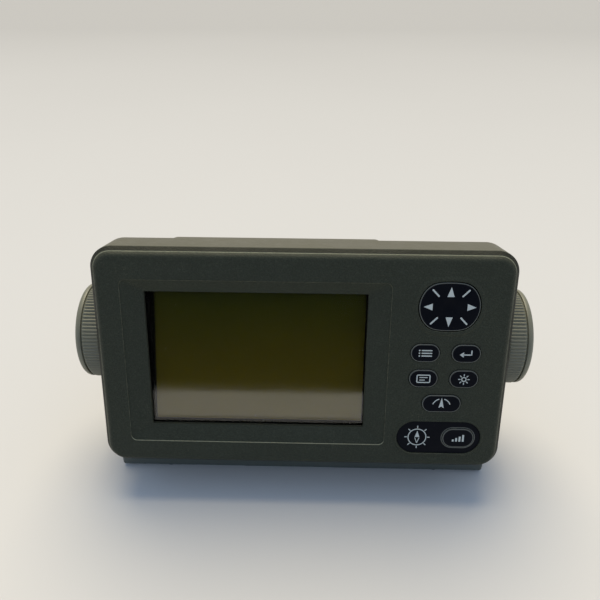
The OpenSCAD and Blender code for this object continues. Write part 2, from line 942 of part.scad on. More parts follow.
module posts_at() {
    translate([block_x, 0, power_z])
        corners(power_w / 2 - post_inset, power_h / 2 - post_inset)
            children();
}

module plugs_at() {
    for (i = [-1, 0, 1])
        translate([block_x + i * plug_pitch, 0, plug_z])
            children();
}

module rear_cover() {
    fin_count = floor((block_w - 2 * fin_margin) / fin_pitch);
    fin_top = block_top - fin_margin;
    color(shell_color) on_display() difference() {
        union() {
            translate([block_x, 0, block_z]) difference() {
                slab(cover_depth, cover_end) rounded(block_w, block_h, block_r);
                slab(cover_depth - over, cover_end - block_wall)
                    rounded(block_w - 2 * hatch_margin, block_h - 2 * hatch_margin, block_r);
            }
            for (i = [-fin_count / 2 : fin_count / 2])
                translate([block_x + i * fin_pitch, 0, 0]) slab(cover_end - over, cover_end + fin_len)
                    translate([-fin_t / 2, fin_low]) square([fin_t, fin_top - fin_low]);
            posts_at() bar(post_r, power_depth + board_t, cover_end - block_wall + over);
        }
        plugs_at() bar(plug_neck_r + fit, cover_end - block_wall - over, cover_end + over);
        posts_at() bar(thread_r + slice, power_depth, power_depth + board_t + small_screw_len);
        cover_screws_at() {
            bar(screw_r + screw_clear, cover_depth - over, cover_end + over);
            bar(screw_head_r + screw_clear, cover_end - head_seat, cover_end + over);
        }
        translate([ground_x, 0, ground_z]) bar(ground_r + fit, cover_depth - over, cover_end + over);
        translate([vent_x, 0, vent_z]) bar(vent_r + fit, cover_depth - over, cover_end + over);
    }
}

// Boards

module main_board() {
    color(board_color) on_display() difference() {
        translate([frame_x - lcd_board_w / 2, 0, 0]) slab(main_depth, main_depth + board_t)
            translate([0, -lcd_board_h / 2]) square([main_w, lcd_board_h]);
        lcd_bosses_at() bar(thread_bore, main_depth - over, main_depth + board_t + over);
    }
}

// Chips as shares of the board's half size and of its height: x, z, side
CHIP_SHARES = [[-0.35, 0.3, 0.32], [0.15, 0.35, 0.26], [-0.1, -0.4, 0.2], [0.5, -0.35, 0.16]];

module processor_chips() {
    color(rubber_color) on_display()
        translate([frame_x - lcd_board_w / 2 + main_w / 2, 0, 0])
            for (c = CHIP_SHARES)
                translate([c[0] * main_w / 2, 0, c[1] * lcd_board_h / 2])
                    slab(main_depth + board_t, main_depth + board_t + chip_t)
                        square(c[2] * lcd_board_h, center = true);
}

module backup_battery() {
    color(metal_color) on_display() translate([frame_x - boss_x + battery_r + 2 * boss_r, 0, -battery_r])
        bar(battery_r, main_depth + board_t, main_depth + board_t + battery_t);
}

module buzzer() {
    color(rubber_color) on_display() translate([frame_x - lcd_board_w / 2 + main_w - 2 * buzzer_r, 0, buzzer_r])
        bar(buzzer_r, main_depth + board_t, main_depth + board_t + buzzer_t);
}

module power_board() {
    color(board_color) on_display() difference() {
        translate([block_x, 0, power_z]) slab(power_depth, power_depth + board_t)
            square([power_w, power_h], center = true);
        posts_at() bar(thread_bore, power_depth - over, power_depth + board_t + over);
    }
}

module power_components() {
    back = power_depth + board_t;
    color([0.2, 0.25, 0.4]) on_display() translate([block_x, 0, power_z]) {
        for (i = [0 : 2])
            translate([-power_w / 4 + i * 3 * capacitor_r, 0, power_h / 4])
                bar(capacitor_r, back, back + capacitor_len);
        slab(back, back + coil_t) square([coil_w, coil_h], center = true);
    }
}

module heat_spreader() {
    back = power_depth + board_t;
    front_of_wall = cover_end - block_wall;
    color(metal_color) on_display() translate([block_x, 0, power_z + power_h / 2 - post_inset])
        across(-spreader_w / 2, spreader_w / 2) {
            translate([back, -spreader_t / 2]) square([front_of_wall - back, spreader_t]);
            translate([front_of_wall - spreader_t, -spreader_t / 2]) square([spreader_t, spreader_leg]);
        }
}

module board_spacers() {
    color(metal_color) on_display() lcd_bosses_at() difference() {
        union() {
            bar(spacer_r, lcd_board_depth + board_t, main_depth, $fn = 6);
            bar(thread_r, lcd_board_depth - small_screw_len, lcd_board_depth + board_t + slice);
        }
        bar(thread_r + slice, main_depth - spacer_len / 2, main_depth + over);
    }
}

module board_screws() {
    small = spacer_len / 2 - fit;
    color(metal_color) on_display() {
        lcd_bosses_at() {
            bar(thread_r, main_depth - small, main_depth + board_t + slice);
            bar(small_head_r, main_depth + board_t, main_depth + board_t + small_head_t);
        }
        key_bosses_at() {
            bar(thread_r, key_board_depth - small, key_board_depth + board_t + slice);
            bar(small_head_r, key_board_depth + board_t, key_board_depth + board_t + small_head_t);
        }
        posts_at() {
            bar(thread_r, power_depth - slice, power_depth + board_t + small);
            bar(small_head_r, power_depth - small_head_t, power_depth);
        }
    }
}

// A flat cable that loops down from a board's rear at depth a to a board's front at depth b
module cable_loop(a, b, z) {
    r = (b - a) / 2;
    translate([a + r, z]) {
        difference() {
            circle(r);
            circle(r - cable_t);
            translate([-r - over, 0]) square([2 * (r + over), r + over]);
        }
        for (s = [-1, 1])
            translate([s * (r - cable_t / 2) - cable_t / 2, -slice]) square([cable_t, cable_leg + slice]);
    }
}

module flat_cables() {
    cable_z = -lcd_board_h / 2 + cable_leg;
    color([0.85, 0.85, 0.8]) on_display() {
        translate([frame_x, 0, 0]) across(-cable_w / 2, cable_w / 2)
            cable_loop(lcd_board_depth + board_t, main_depth, cable_z);
        translate([key_x, 0, 0]) across(-key_cable_w, 0)
            cable_loop(key_board_depth + board_t, main_depth, cable_z);
    }
}

// Fasteners

module case_screws() {
    seat = tub_depth - head_seat;
    color(metal_color) on_display() corners(case_screw_x, case_screw_z) difference() {
        union() {
            bar(screw_r, case_boss_end - screw_bite + over, seat + slice);
            bar(screw_head_r, seat, seat + screw_head_t);
        }
        bar(screw_r, seat + screw_head_t / 2, seat + screw_head_t + over, $fn = 6);
    }
}

module cover_screws() {
    seat = cover_end - head_seat;
    color(metal_color) on_display() cover_screws_at() difference() {
        union() {
            bar(thread_r, tub_depth - wall, cover_depth);
            bar(screw_r, cover_depth - slice, seat + slice);
            bar(screw_head_r, seat, seat + screw_head_t);
        }
        bar(screw_r, seat + screw_head_t / 2, seat + screw_head_t + over, $fn = 6);
    }
}

module side_inserts() {
    color(brass_color) on_display() both_sides() translate([0, axis_depth, axis_rise]) difference() {
        across_axis(insert_r - bush_gap, insert_x + fit, side_boss_x - fit);
        across_axis(stud_r + running, insert_x, side_boss_x + over);
    }
}

module friction_washers() {
    color(rubber_color) on_display() both_sides() translate([0, axis_depth, axis_rise]) difference() {
        across_axis(friction_r, side_boss_x, side_boss_x + friction_t);
        across_axis(stud_r + fit, side_boss_x - over, side_boss_x + friction_t + over);
    }
}

// Connectors

module connector_shell(i) {
    color(metal_color) on_display() translate([block_x + i * plug_pitch, 0, plug_z]) difference() {
        union() {
            bar(plug_neck_r, cover_end - plug_tail, cover_end + slice);
            bar(plug_flange_r, cover_end, cover_end + plug_flange_t);
            bar(plug_r, cover_end + plug_flange_t - slice, cover_end + plug_flange_t + plug_len);
            for (n = [0 : plug_rings - 1])
                translate([0, n * plug_ring_pitch, 0])
                    bar(plug_r + plug_ring_h, cover_end + plug_flange_t + plug_len / 4,
                        cover_end + plug_flange_t + plug_len / 4 + plug_ring_t);
        }
        bar(plug_bore, cover_end - plug_tail - over, cover_end + plug_flange_t + plug_len + over);
    }
}

function pin_angles(n) = [for (a = [0 : n - 1]) 4 * right_angle * a / n];
PIN_COUNTS = [3, 7, 5];

module pins(i, grow, a, b) {
    n = PIN_COUNTS[i + 1];
    translate([block_x + i * plug_pitch, 0, plug_z])
        for (angle = pin_angles(n))
            rotate([0, angle, 0]) translate([pin_ring_r, 0, 0]) bar(pin_r + grow, a, b);
}

module connector_inserts() {
    face = cover_end + plug_flange_t + plug_len - insert_back;
    color(key_color) on_display() difference() {
        plugs_at() bar(plug_bore - slice, cover_end - plug_tail + over, face);
        for (i = [-1, 0, 1]) pins(i, pin_gap, 0, face + over);
    }
}

module connector_pins() {
    face = cover_end + plug_flange_t + plug_len - insert_back;
    color(brass_color) on_display()
        for (i = [-1, 0, 1]) pins(i, 0, cover_end - plug_tail - pin_tail, face + pin_proud);
}

module connector_nuts() {
    inside = cover_end - block_wall - fit;
    color(metal_color) on_display() plugs_at() difference() {
        bar(plug_nut_r, inside - plug_nut_t, inside, $fn = 6);
        bar(plug_neck_r + slice, inside - plug_nut_t - over, inside + over);
    }
}

module ground_stud() {
    color(brass_color) on_display() translate([ground_x, 0, ground_z]) {
        bar(ground_r, cover_end - ground_tail, cover_end + ground_len);
    }
}

module ground_nut() {
    color(metal_color) on_display() translate([ground_x, 0, ground_z]) difference() {
        union() {
            bar(ground_washer_r, cover_end, cover_end + ground_washer_t);
            bar(ground_nut_r, cover_end + ground_washer_t - slice, cover_end + ground_washer_t + ground_nut_t,
                $fn = 6);
        }
        bar(ground_r + slice, cover_end - over, cover_end + ground_len);
    }
}

module vent_plug() {
    color(rubber_color) on_display() translate([vent_x, 0, vent_z]) {
        bar(vent_r, cover_end - block_wall, cover_end + slice);
        bar(vent_head_r, cover_end, cover_end + vent_head_t);
    }
}

// Clamp knobs, drawn for the right side along +x, about the tilt axis

// One rib's corners: share of the pitch, share of the groove's depth
RIB_SHARES = [[0, 0], [0.3, 0], [0.5, 1], [0.8, 1]];

module knurl_outline() {
    step = 4 * right_angle / ribs;
    polygon([for (i = [0 : ribs - 1], p = RIB_SHARES)
        (knob_r - p[1] * rib_h) * [cos((i + p[0]) * step), sin((i + p[0]) * step)]]);
}

module knob_body() {
    knurl_x = knob_x + knob_flange_t + groove_w;
    rim_x = knurl_x + knurl_t + groove_w;
    end_x = rim_x + knob_rim_t;
    rim_r = knob_r - rim_drop;
    difference() {
        union() {
            across_axis(rim_r, knob_x, knob_x + knob_flange_t);
            across_axis(knob_r - groove_h - rib_h, knob_x, rim_x + slice);
            translate([knurl_x, 0, 0]) rotate([0, right_angle, 0]) linear_extrude(knurl_t) knurl_outline();
            // The rim ends in a rounded edge and a low dome
            translate([rim_x, 0, 0]) rotate([0, right_angle, 0]) rotate_extrude($fn = fine) {
                square([rim_r - knob_edge, knob_rim_t]);
                square([rim_r, knob_rim_t - knob_edge]);
                translate([rim_r - knob_edge, knob_rim_t - knob_edge]) intersection() {
                    circle(knob_edge);
                    square(knob_edge + over);
                }
            }
        }
        // Hollow from the inner side, round a hub
        difference() {
            across_axis(knob_r - rib_h - groove_h - knob_wall, knob_x - over, end_x - knob_wall - cap_t);
            across_axis(knob_hub_r, knob_x - over, end_x);
        }
        across_axis(washer_r + loose, knob_x - over, knob_x + washer_seat);
        across_axis(stud_r + slice, knob_x - over, end_x);
        across_axis(stud_head_r + slice, stud_head_x - slice, end_x, $fn = 6);
        across_axis(cap_r + fit, end_x - cap_t, end_x + over);
    }
}

module on_side(side) {
    color(knob_color) on_display() translate([0, axis_depth, axis_rise])
        if (side > 0) children();
        else mirror([1, 0, 0]) children();
}

module knob(side) {
    on_side(side) knob_body();
}

module pressure_washer(side) {
    color(metal_color) on_side(side) difference() {
        across_axis(washer_r, knob_x - 2 * fit, knob_x - 2 * fit + washer_t);
        across_axis(stud_r + fit, knob_x - over, knob_x + washer_t + over);
    }
}

module stud(side) {
    color(metal_color) on_side(side) {
        across_axis(stud_r, side_boss_x - stud_in, stud_head_x + slice);
        across_axis(stud_head_r, stud_head_x, stud_head_x + stud_head_t, $fn = 6);
    }
}

module knob_cap(side) {
    on_side(side)
        across_axis(cap_r, knob_x + knob_len - cap_t, knob_x + knob_len);
}

mounting_bracket();
arm_bushes();
rubber_feet();
front_panel();
display_window();
window_gasket();
lcd_frame();
lcd_glass();
backlight_panel();
lcd_board();
legend_plate();
key_mat();
key_board();
dome_switches();
pad_carrier();
case_seal();
rear_housing();
cover_seal();
rear_cover();
main_board();
processor_chips();
backup_battery();
buzzer();
power_board();
power_components();
heat_spreader();
board_spacers();
board_screws();
flat_cables();
case_screws();
cover_screws();
side_inserts();
friction_washers();
connector_shell(-1);  // power_connector
connector_shell(0);  // antenna_connector
connector_shell(1);  // data_connector
connector_inserts();
connector_pins();
connector_nuts();
ground_stud();
ground_nut();
vent_plug();
pressure_washer(-1);  // left_pressure_washer
knob(-1);  // left_knob
stud(-1);  // left_stud
knob_cap(-1);  // left_knob_cap
pressure_washer(1);  // right_pressure_washer
knob(1);  // right_knob
stud(1);  // right_stud
knob_cap(1);  // right_knob_cap
pad_pivot();
cursor_pad();
key_button(KEYS[0]);  // menu_key
key_button(KEYS[1]);  // enter_key
key_button(KEYS[2]);  // display_key
key_button(KEYS[3]);  // dimmer_key
key_button(KEYS[4]);  // heading_key
key_button(KEYS[5]);  // status_key
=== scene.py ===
"""Looks of a satellite compass display unit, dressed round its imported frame.

Shapes are drawn in millimetres in the panel's own coordinates: x to the right, depth behind the
panel's face, z up from the panel's centre. A Place turns them into the frame's metres.
"""
import json
import logging
import math
from dataclasses import dataclass, field
from enum import Enum
from typing import Dict, List, Optional, Sequence, Tuple, Union

import bmesh
import bpy
import numpy as np
from mathutils import Euler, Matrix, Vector
from mathutils.geometry import delaunay_2d_cdt

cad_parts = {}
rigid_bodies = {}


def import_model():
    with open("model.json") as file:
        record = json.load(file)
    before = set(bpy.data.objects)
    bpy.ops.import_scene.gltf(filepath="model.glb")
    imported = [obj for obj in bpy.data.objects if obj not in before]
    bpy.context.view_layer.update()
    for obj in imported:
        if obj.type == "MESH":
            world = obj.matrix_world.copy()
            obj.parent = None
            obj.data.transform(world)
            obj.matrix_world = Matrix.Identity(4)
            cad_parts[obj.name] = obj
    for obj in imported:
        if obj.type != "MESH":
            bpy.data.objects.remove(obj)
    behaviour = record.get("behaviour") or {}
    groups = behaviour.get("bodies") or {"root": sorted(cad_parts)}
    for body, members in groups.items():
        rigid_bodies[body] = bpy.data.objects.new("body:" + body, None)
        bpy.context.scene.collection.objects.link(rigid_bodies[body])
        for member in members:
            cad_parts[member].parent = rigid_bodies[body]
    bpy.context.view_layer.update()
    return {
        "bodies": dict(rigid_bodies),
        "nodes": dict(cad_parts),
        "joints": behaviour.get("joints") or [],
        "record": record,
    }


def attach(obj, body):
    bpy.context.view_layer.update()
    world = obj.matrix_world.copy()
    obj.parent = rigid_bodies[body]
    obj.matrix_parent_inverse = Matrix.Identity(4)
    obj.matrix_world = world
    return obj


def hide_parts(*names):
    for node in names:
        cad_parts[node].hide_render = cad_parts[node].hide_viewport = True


LOG = logging.getLogger("satellite_compass")
MM = 0.001
WELD = 2e-6
FLAT_ANGLE = math.radians(0.5)
SMOOTH_ANGLE = math.radians(38)
BEVEL_ANGLE = math.radians(42)
EDGE_LAYER = "edge"
DEFAULT_SLOT = "steel"
CORNERS = ((-1, -1), (-1, 1), (1, -1), (1, 1))
SEAT_MOUTH = 3.2
SEAT_BORE = 3.0
SEAT_DEPTH = 3.9

Color = Tuple[float, float, float]
Loops = List[np.ndarray]
Station = Tuple["Outline", float, float, float]


class Facing(Enum):
    """Which way a drawn outline (u, v) looks, as the order of (u, v, w) in x, depth, z."""

    BACK = (0, 2, 1)
    UP = (0, 1, 2)
    SIDE = (2, 0, 1)


class Carving(Enum):
    """What one solid does to another, by the name of the boolean operation."""

    CUT = "DIFFERENCE"
    JOIN = "UNION"


@dataclass(frozen=True)
class Place:
    """Turns drawn points in millimetres into the frame's metres."""

    axis_height: float = 0.0
    axis_depth: float = 0.0
    axis_rise: float = 0.0
    lean: float = 0.0

    def to_frame(self, points: np.ndarray) -> np.ndarray:
        """Turns points about the tilt axis by the lean and lifts them to the axis' height.

        Args:
            points: drawn points, x, depth and z in the last axis, in millimetres.

        Returns:
            The points in the frame, in metres.
        """
        depth = points[..., 1] - self.axis_depth
        rise = points[..., 2] - self.axis_rise
        cos, sin = math.cos(self.lean), math.sin(self.lean)
        turned = (points[..., 0], depth * cos + rise * sin, self.axis_height + rise * cos - depth * sin)
        return np.stack(turned, axis=-1) * MM


@dataclass(frozen=True)
class Outline:
    """A rectangle with round corners, or with no size a point that grows to a circle."""

    width: float = 0.0
    height: float = 0.0
    radius: float = 0.0
    x: float = 0.0
    z: float = 0.0
    per_corner: int = 12

    def rings(self, spread: Union[float, Sequence[float]]) -> np.ndarray:
        """Outlines grown by each spread: the corner's centre plus its radius times cosine and sine.

        Args:
            spread: how far each outline stands outside this one.

        Returns:
            An array of outlines by points by (u, v).
        """
        grow = np.atleast_1d(np.asarray(spread, float))[:, None]
        corner = np.arange(4)[:, None] * (math.pi / 2)
        angle = (corner + np.linspace(0, math.pi / 2, self.per_corner + 1)).ravel()[None, :]
        side_u = np.repeat([1, -1, -1, 1], self.per_corner + 1)[None, :]
        side_v = np.repeat([1, 1, -1, -1], self.per_corner + 1)[None, :]
        radius = np.maximum(self.radius + grow, 0.0)
        half_u = np.maximum(self.width / 2 + grow - radius, 0.0)
        half_v = np.maximum(self.height / 2 + grow - radius, 0.0)
        u = self.x + side_u * half_u + radius * np.cos(angle)
        v = self.z + side_v * half_v + radius * np.sin(angle)
        return np.stack([u, v], axis=-1)


@dataclass(frozen=True)
class FlatCircle:
    """A circle whose top and bottom are cut flat."""

    radius: float
    height: float
    x: float = 0.0
    z: float = 0.0
    count: int = 96
    softness: float = 0.5

    def rings(self, spread: Union[float, Sequence[float]]) -> np.ndarray:
        """Circles grown by each spread, with v held to the flat edges by a soft minimum.

        Args:
            spread: how far each outline stands outside this one.

        Returns:
            An array of outlines by points by (u, v).
        """
        grow = np.atleast_1d(np.asarray(spread, float))[:, None]
        angle = np.linspace(0, 2 * math.pi, self.count, endpoint=False)[None, :]
        u = (self.radius + grow) * np.cos(angle)
        v = (self.radius + grow) * np.sin(angle)
        limit = self.height / 2 + grow
        soft = (np.abs(v) + limit - np.sqrt((np.abs(v) - limit) ** 2 + self.softness ** 2)) / 2
        held = np.sign(v) * np.maximum(soft, 0.0)
        return np.stack([self.x + u, self.z + held], axis=-1)


class Profile:
    """A section drawn point by point: spread outside the outline, depth, and exposure.

    Exposure says how worn an edge is, partly as a painted highlight. Below zero it says how much painted
    shade darkens a slope.
    """

    def __init__(self) -> None:
        """Starts with no points."""
        self.rows: List[Tuple[float, float, float]] = []

    def to(self, spread: float, depth: float, edge: float = 0.0) -> "Profile":
        """Adds one point."""
        self.rows.append((spread, depth, edge))
        return self

    def arc(self, centre: Tuple[float, float], radius: float, start: float, stop: float,
            edge: float = 1.0, steps: int = 6) -> "Profile":
        """Adds a round: centre plus radius times cosine and sine, most exposed at its middle.

        Args:
            centre: spread and depth of the arc's centre.
            radius: radius of the arc.
            start: first angle in degrees, 0 along the spread and 90 along the depth.
            stop: last angle in degrees.
            edge: exposure at the middle of the arc.
            steps: number of steps along the arc.

        Returns:
            This profile.
        """
        share = np.linspace(0, 1, steps + 1)
        angle = np.radians(start + (stop - start) * share)
        spread = centre[0] + radius * np.cos(angle)
        depth = centre[1] + radius * np.sin(angle)
        exposure = edge * np.sin(math.pi * share)
        self.rows.extend(zip(spread.tolist(), depth.tolist(), exposure.tolist()))
        return self

    def array(self) -> np.ndarray:
        """The points as an array of (spread, depth, edge)."""
        return np.array(self.rows, float)


class Skin:
    """Gathers the surfaces of one piece and turns them into one closed mesh."""

    def __init__(self, name: str, place: Place) -> None:
        """Starts an empty piece.

        Args:
            name: the piece's name.
            place: where its drawn points lie in the frame.
        """
        self.name = name
        self.place = place
        self._points: List[np.ndarray] = []
        self._edges: List[np.ndarray] = []
        self._faces: List[List[int]] = []
        self._slots: List[int] = []
        self._total = 0

    def _add(self, points: np.ndarray, edge: np.ndarray, faces: List[List[int]], slot: int) -> None:
        """Keeps a surface until the mesh is made.

        Args:
            points: (x, depth, z) in the last axis.
            edge: exposure of each point.
            faces: corners of each face, counted from the piece's first point.
            slot: material slot.
        """
        self._points.append(points.reshape(-1, 3))
        self._edges.append(edge.reshape(-1))
        self._faces.extend(faces)
        self._slots.extend([slot] * len(faces))
        self._total += edge.size

    def grid(self, points: np.ndarray, edge: np.ndarray, slot: int = 0) -> "Skin":
        """Adds a surface of rows by columns, with a four-sided face between neighbours.

        The last column joins the first.

        Args:
            points: rows by columns by (x, depth, z).
            edge: exposure of each point, rows by columns.
            slot: material slot.

        Returns:
            This skin.
        """
        left = self._total + np.arange(edge.size).reshape(edge.shape)
        right = np.roll(left, -1, axis=1)
        quads = np.stack([left[:-1], right[:-1], right[1:], left[1:]], axis=-1).reshape(-1, 4)
        self._add(points, edge, quads.tolist(), slot)
        return self

    def band(self, outline: Union[Outline, FlatCircle], profile: Profile, slot: int = 0,
             facing: Facing = Facing.BACK, mirror: float = 1.0) -> "Skin":
        """Carries a section round an outline: each section point is one grown outline at its depth.

        Args:
            outline: the outline that the section follows.
            profile: the section.
            slot: material slot.
            facing: which way the outline looks.
            mirror: factor on the depth, -1 for a mirrored copy.

        Returns:
            This skin.
        """
        rows = profile.array()
        flat = outline.rings(rows[:, 0])
        depth = np.broadcast_to(rows[:, 1, None] * mirror, flat.shape[:2])
        drawn = np.concatenate([flat, depth[..., None]], axis=-1)[..., list(facing.value)]
        edge = np.broadcast_to(rows[:, 2, None], flat.shape[:2]).copy()
        return self.grid(drawn, edge, slot)

    def loft(self, stations: Sequence[Station]) -> "Skin":
        """Joins different outlines, point to point, at their depths.

        Args:
            stations: outline, spread, depth and exposure of each ring.

        Returns:
            This skin.
        """
        rings = np.concatenate([outline.rings(spread) for outline, spread, _, _ in stations])
        depth = np.array([station[2] for station in stations])[:, None]
        edge = np.array([station[3] for station in stations])[:, None]
        shape = rings.shape[:2]
        drawn = np.stack([rings[..., 0], np.broadcast_to(depth, shape), rings[..., 1]], axis=-1)
        return self.grid(drawn, np.broadcast_to(edge, shape).copy())

    def flat(self, loops: Sequence[np.ndarray], depth: float, slot: int = 0,
             facing: Facing = Facing.BACK) -> "Skin":
        """Fills the flat region inside the first loop and outside the others, which are convex holes.

        Triangles with all three corners on one hole's loop lie in that hole and are left out.

        Args:
            loops: closed outlines by (u, v), the outer one first.
            depth: where the region lies along the outline's facing.
            slot: material slot.
            facing: which way the region looks.

        Returns:
            This skin.
        """
        edges: List[Tuple[int, int]] = []
        start = 0
        for loop in loops:
            count = len(loop)
            ring = start + np.arange(count)
            edges.extend(zip(ring.tolist(), np.roll(ring, -1).tolist()))
            start += count
        corners = [Vector(point) for point in np.concatenate(list(loops)).tolist()]
        owner = np.repeat(np.arange(len(loops)), [len(loop) for loop in loops])
        filled = delaunay_2d_cdt(corners, edges, [], 1, 1e-7)
        uv = np.array([tuple(point) for point in filled[0]])
        drawn = np.column_stack([uv, np.full(len(uv), depth)])[:, list(facing.value)]
        source = np.array([owner[origin[0]] if origin else -1 for origin in filled[3]])
        corner_owner = source[np.array(filled[2])]
        in_hole = (corner_owner.min(axis=1) == corner_owner.max(axis=1)) & (corner_owner[:, 0] > 0)
        faces = (np.array(filled[2])[~in_hole] + self._total).tolist()
        self._add(drawn, np.zeros(len(uv)), faces, slot)
        return self

    def prism(self, loops: Sequence[np.ndarray], near: float, far: float, slot: int = 0,
              facing: Facing = Facing.BACK) -> "Skin":
        """Adds a closed solid with straight walls between two flat regions.

        Args:
            loops: closed outlines by (u, v), the outer one first.
            near: depth of the first flat region.
            far: depth of the second.
            slot: material slot.
            facing: which way the outline looks.

        Returns:
            This skin.
        """
        for depth in (near, far):
            self.flat(loops, depth, slot, facing)
        for loop in loops:
            walls = np.stack([np.column_stack([loop, np.full(len(loop), depth)])
                              for depth in (near, far)])
            self.grid(walls[..., list(facing.value)], np.zeros(walls.shape[:2]), slot)
        return self

    def mesh(self) -> bpy.types.Mesh:
        """Welds the surfaces, turns every face outwards and keeps the exposure as a point attribute.

        Returns:
            The closed mesh, in the frame's metres.
        """
        mesh = bpy.data.meshes.new(self.name)
        points = self.place.to_frame(np.concatenate(self._points))
        mesh.from_pydata(points.tolist(), [], self._faces)
        mesh.polygons.foreach_set("material_index", np.array(self._slots, np.int32))
        layer = mesh.attributes.new(EDGE_LAYER, "FLOAT", "POINT")
        layer.data.foreach_set("value", np.concatenate(self._edges).astype(np.float32))
        work = bmesh.new()
        work.from_mesh(mesh)
        bmesh.ops.remove_doubles(work, verts=work.verts, dist=WELD)
        bmesh.ops.dissolve_degenerate(work, edges=work.edges, dist=WELD)
        bmesh.ops.recalc_face_normals(work, faces=work.faces)
        work.to_mesh(mesh)
        work.free()
        return mesh

    def piece(self, materials: Sequence[bpy.types.Material]) -> bpy.types.Object:
        """Makes the finished object, smooth but for its creases.

        Args:
            materials: the material of each slot.

        Returns:
            The new object, at the origin.
        """
        return dress(self.block(), materials)

    def block(self) -> bpy.types.Object:
        """The bare object, for cutting and joining."""
        return add_object(self.name, self.mesh())


def add_object(name: str, data: bpy.types.ID) -> bpy.types.Object:
    """Makes an object and puts it into the scene.

    Args:
        name: the object's name.
        data: its mesh, camera or light.

    Returns:
        The new object, at the origin.
    """
    obj = bpy.data.objects.new(name, data)
    bpy.context.scene.collection.objects.link(obj)
    return obj


def dress(obj: bpy.types.Object, materials: Sequence[bpy.types.Material]) -> bpy.types.Object:
    """Gives an object materials and smooth shading with flat faces kept flat.

    Args:
        obj: the object to finish.
        materials: the material of each slot.

    Returns:
        The same object.
    """
    for material in materials:
        obj.data.materials.append(material)
    obj.data.shade_smooth()
    obj.data.set_sharp_from_angle(angle=SMOOTH_ANGLE)
    weighted = obj.modifiers.new("flat_faces", "WEIGHTED_NORMAL")
    weighted.keep_sharp = True
    return obj


def carve(base: bpy.types.Object, tools: Sequence[Tuple[Carving, Skin]], round_off: float) -> None:
    """Cuts and joins solids, then rounds the edges that this leaves.

    Args:
        base: the object whose mesh is changed.
        tools: what is done with each solid, in order.
        round_off: radius of the edges in millimetres.
    """
    helpers = []
    for carving, skin in tools:
        helper = skin.block()
        helpers.append(helper)
        cut = base.modifiers.new(skin.name, "BOOLEAN")
        cut.operation = carving.value
        cut.object = helper
        cut.solver = "EXACT"
    graph = bpy.context.evaluated_depsgraph_get()
    result = bpy.data.meshes.new_from_object(base.evaluated_get(graph))
    base.modifiers.clear()
    for helper in helpers:
        bpy.data.objects.remove(helper)
    work = bmesh.new()
    work.from_mesh(result)
    bmesh.ops.remove_doubles(work, verts=work.verts, dist=WELD)
    bmesh.ops.dissolve_limit(work, angle_limit=FLAT_ANGLE, verts=work.verts, edges=work.edges)
    work.to_mesh(result)
    work.free()
    base.data = result
    bevel = base.modifiers.new("rounded_edges", "BEVEL")
    bevel.width = round_off * MM
    bevel.segments = 3
    bevel.limit_method = "ANGLE"
    bevel.angle_limit = BEVEL_ANGLE


class Graph:
    """Short names for the nodes and links of one node tree."""

    def __init__(self, tree: bpy.types.NodeTree) -> None:
        """Keeps the tree."""
        self.tree = tree

    def add(self, kind: str, values: Optional[Dict[Union[str, int], object]] = None,
            **settings: object) -> bpy.types.Node:
        """Adds a node, sets its properties and sets or links its inputs.

        Args:
            kind: the node's type, without the ShaderNode prefix.
            values: inputs by name or number, each a value or an output socket.
            settings: properties of the node.

        Returns:
            The new node.
        """
        node = self.tree.nodes.new("ShaderNode" + kind)
        for name, setting in settings.items():
            setattr(node, name, setting)
        for name, value in (values or {}).items():
            if isinstance(value, bpy.types.NodeSocket):
                self.tree.links.new(value, node.inputs[name])
            else:
                node.inputs[name].default_value = value
        return node

    def math(self, operation: str, *values: object, clamp: bool = False) -> bpy.types.NodeSocket:
        """Adds a Math node and returns its output."""
        node = self.add("Math", dict(enumerate(values)), operation=operation, use_clamp=clamp)
        return node.outputs[0]

    def spread(self, value: object, low: float, high: float, out_low: float = 0.0,
               out_high: float = 1.0) -> bpy.types.NodeSocket:
        """Maps a value smoothly from one range to another.

        Args:
            value: the value or socket to map.
            low: the value that gives out_low.
            high: the value that gives out_high.
            out_low: the first end of the result.
            out_high: the second end of the result.

        Returns:
            The result's socket.
        """
        node = self.add("MapRange", {"Value": value, "From Min": low, "From Max": high,
                                     "To Min": out_low, "To Max": out_high},
                        interpolation_type="SMOOTHSTEP")
        return node.outputs["Result"]

    def mix(self, factor: object, first: object, second: object, blend: str = "MIX"
            ) -> bpy.types.NodeSocket:
        """Mixes two colours.

        Args:
            factor: share of the second colour.
            first: the first colour or socket.
            second: the second colour or socket.
            blend: how they are mixed.

        Returns:
            The result's socket.
        """
        node = self.add("Mix", data_type="RGBA", blend_type=blend)
        for index, value in ((0, factor), (6, first), (7, second)):
            if isinstance(value, bpy.types.NodeSocket):
                self.tree.links.new(value, node.inputs[index])
            elif index:
                node.inputs[index].default_value = (*value, 1.0)
            else:
                node.inputs[index].default_value = value
        return node.outputs[2]

    def noise(self, vector: object, scale: object, detail: float = 3.0, roughness: float = 0.55,
              distortion: float = 0.0) -> bpy.types.NodeSocket:
        """Adds a noise texture.

        Args:
            vector: where it is read.
            scale: cells in a metre.
            detail: number of finer layers.
            roughness: strength of the finer layers.
            distortion: how far the noise bends itself.

        Returns:
            The value's socket.
        """
        node = self.add("TexNoise", {"Vector": vector, "Scale": scale, "Detail": detail,
                                     "Roughness": roughness, "Distortion": distortion})
        return node.outputs["Fac"]


def start_material(name: str) -> Tuple[bpy.types.Material, Graph, bpy.types.Node]:
    """Starts a material.

    Args:
        name: the material's name.

    Returns:
        The material, its graph and its Principled shader.
    """
    material = bpy.data.materials.new(name)
    material.use_nodes = True
    return material, Graph(material.node_tree), material.node_tree.nodes["Principled BSDF"]


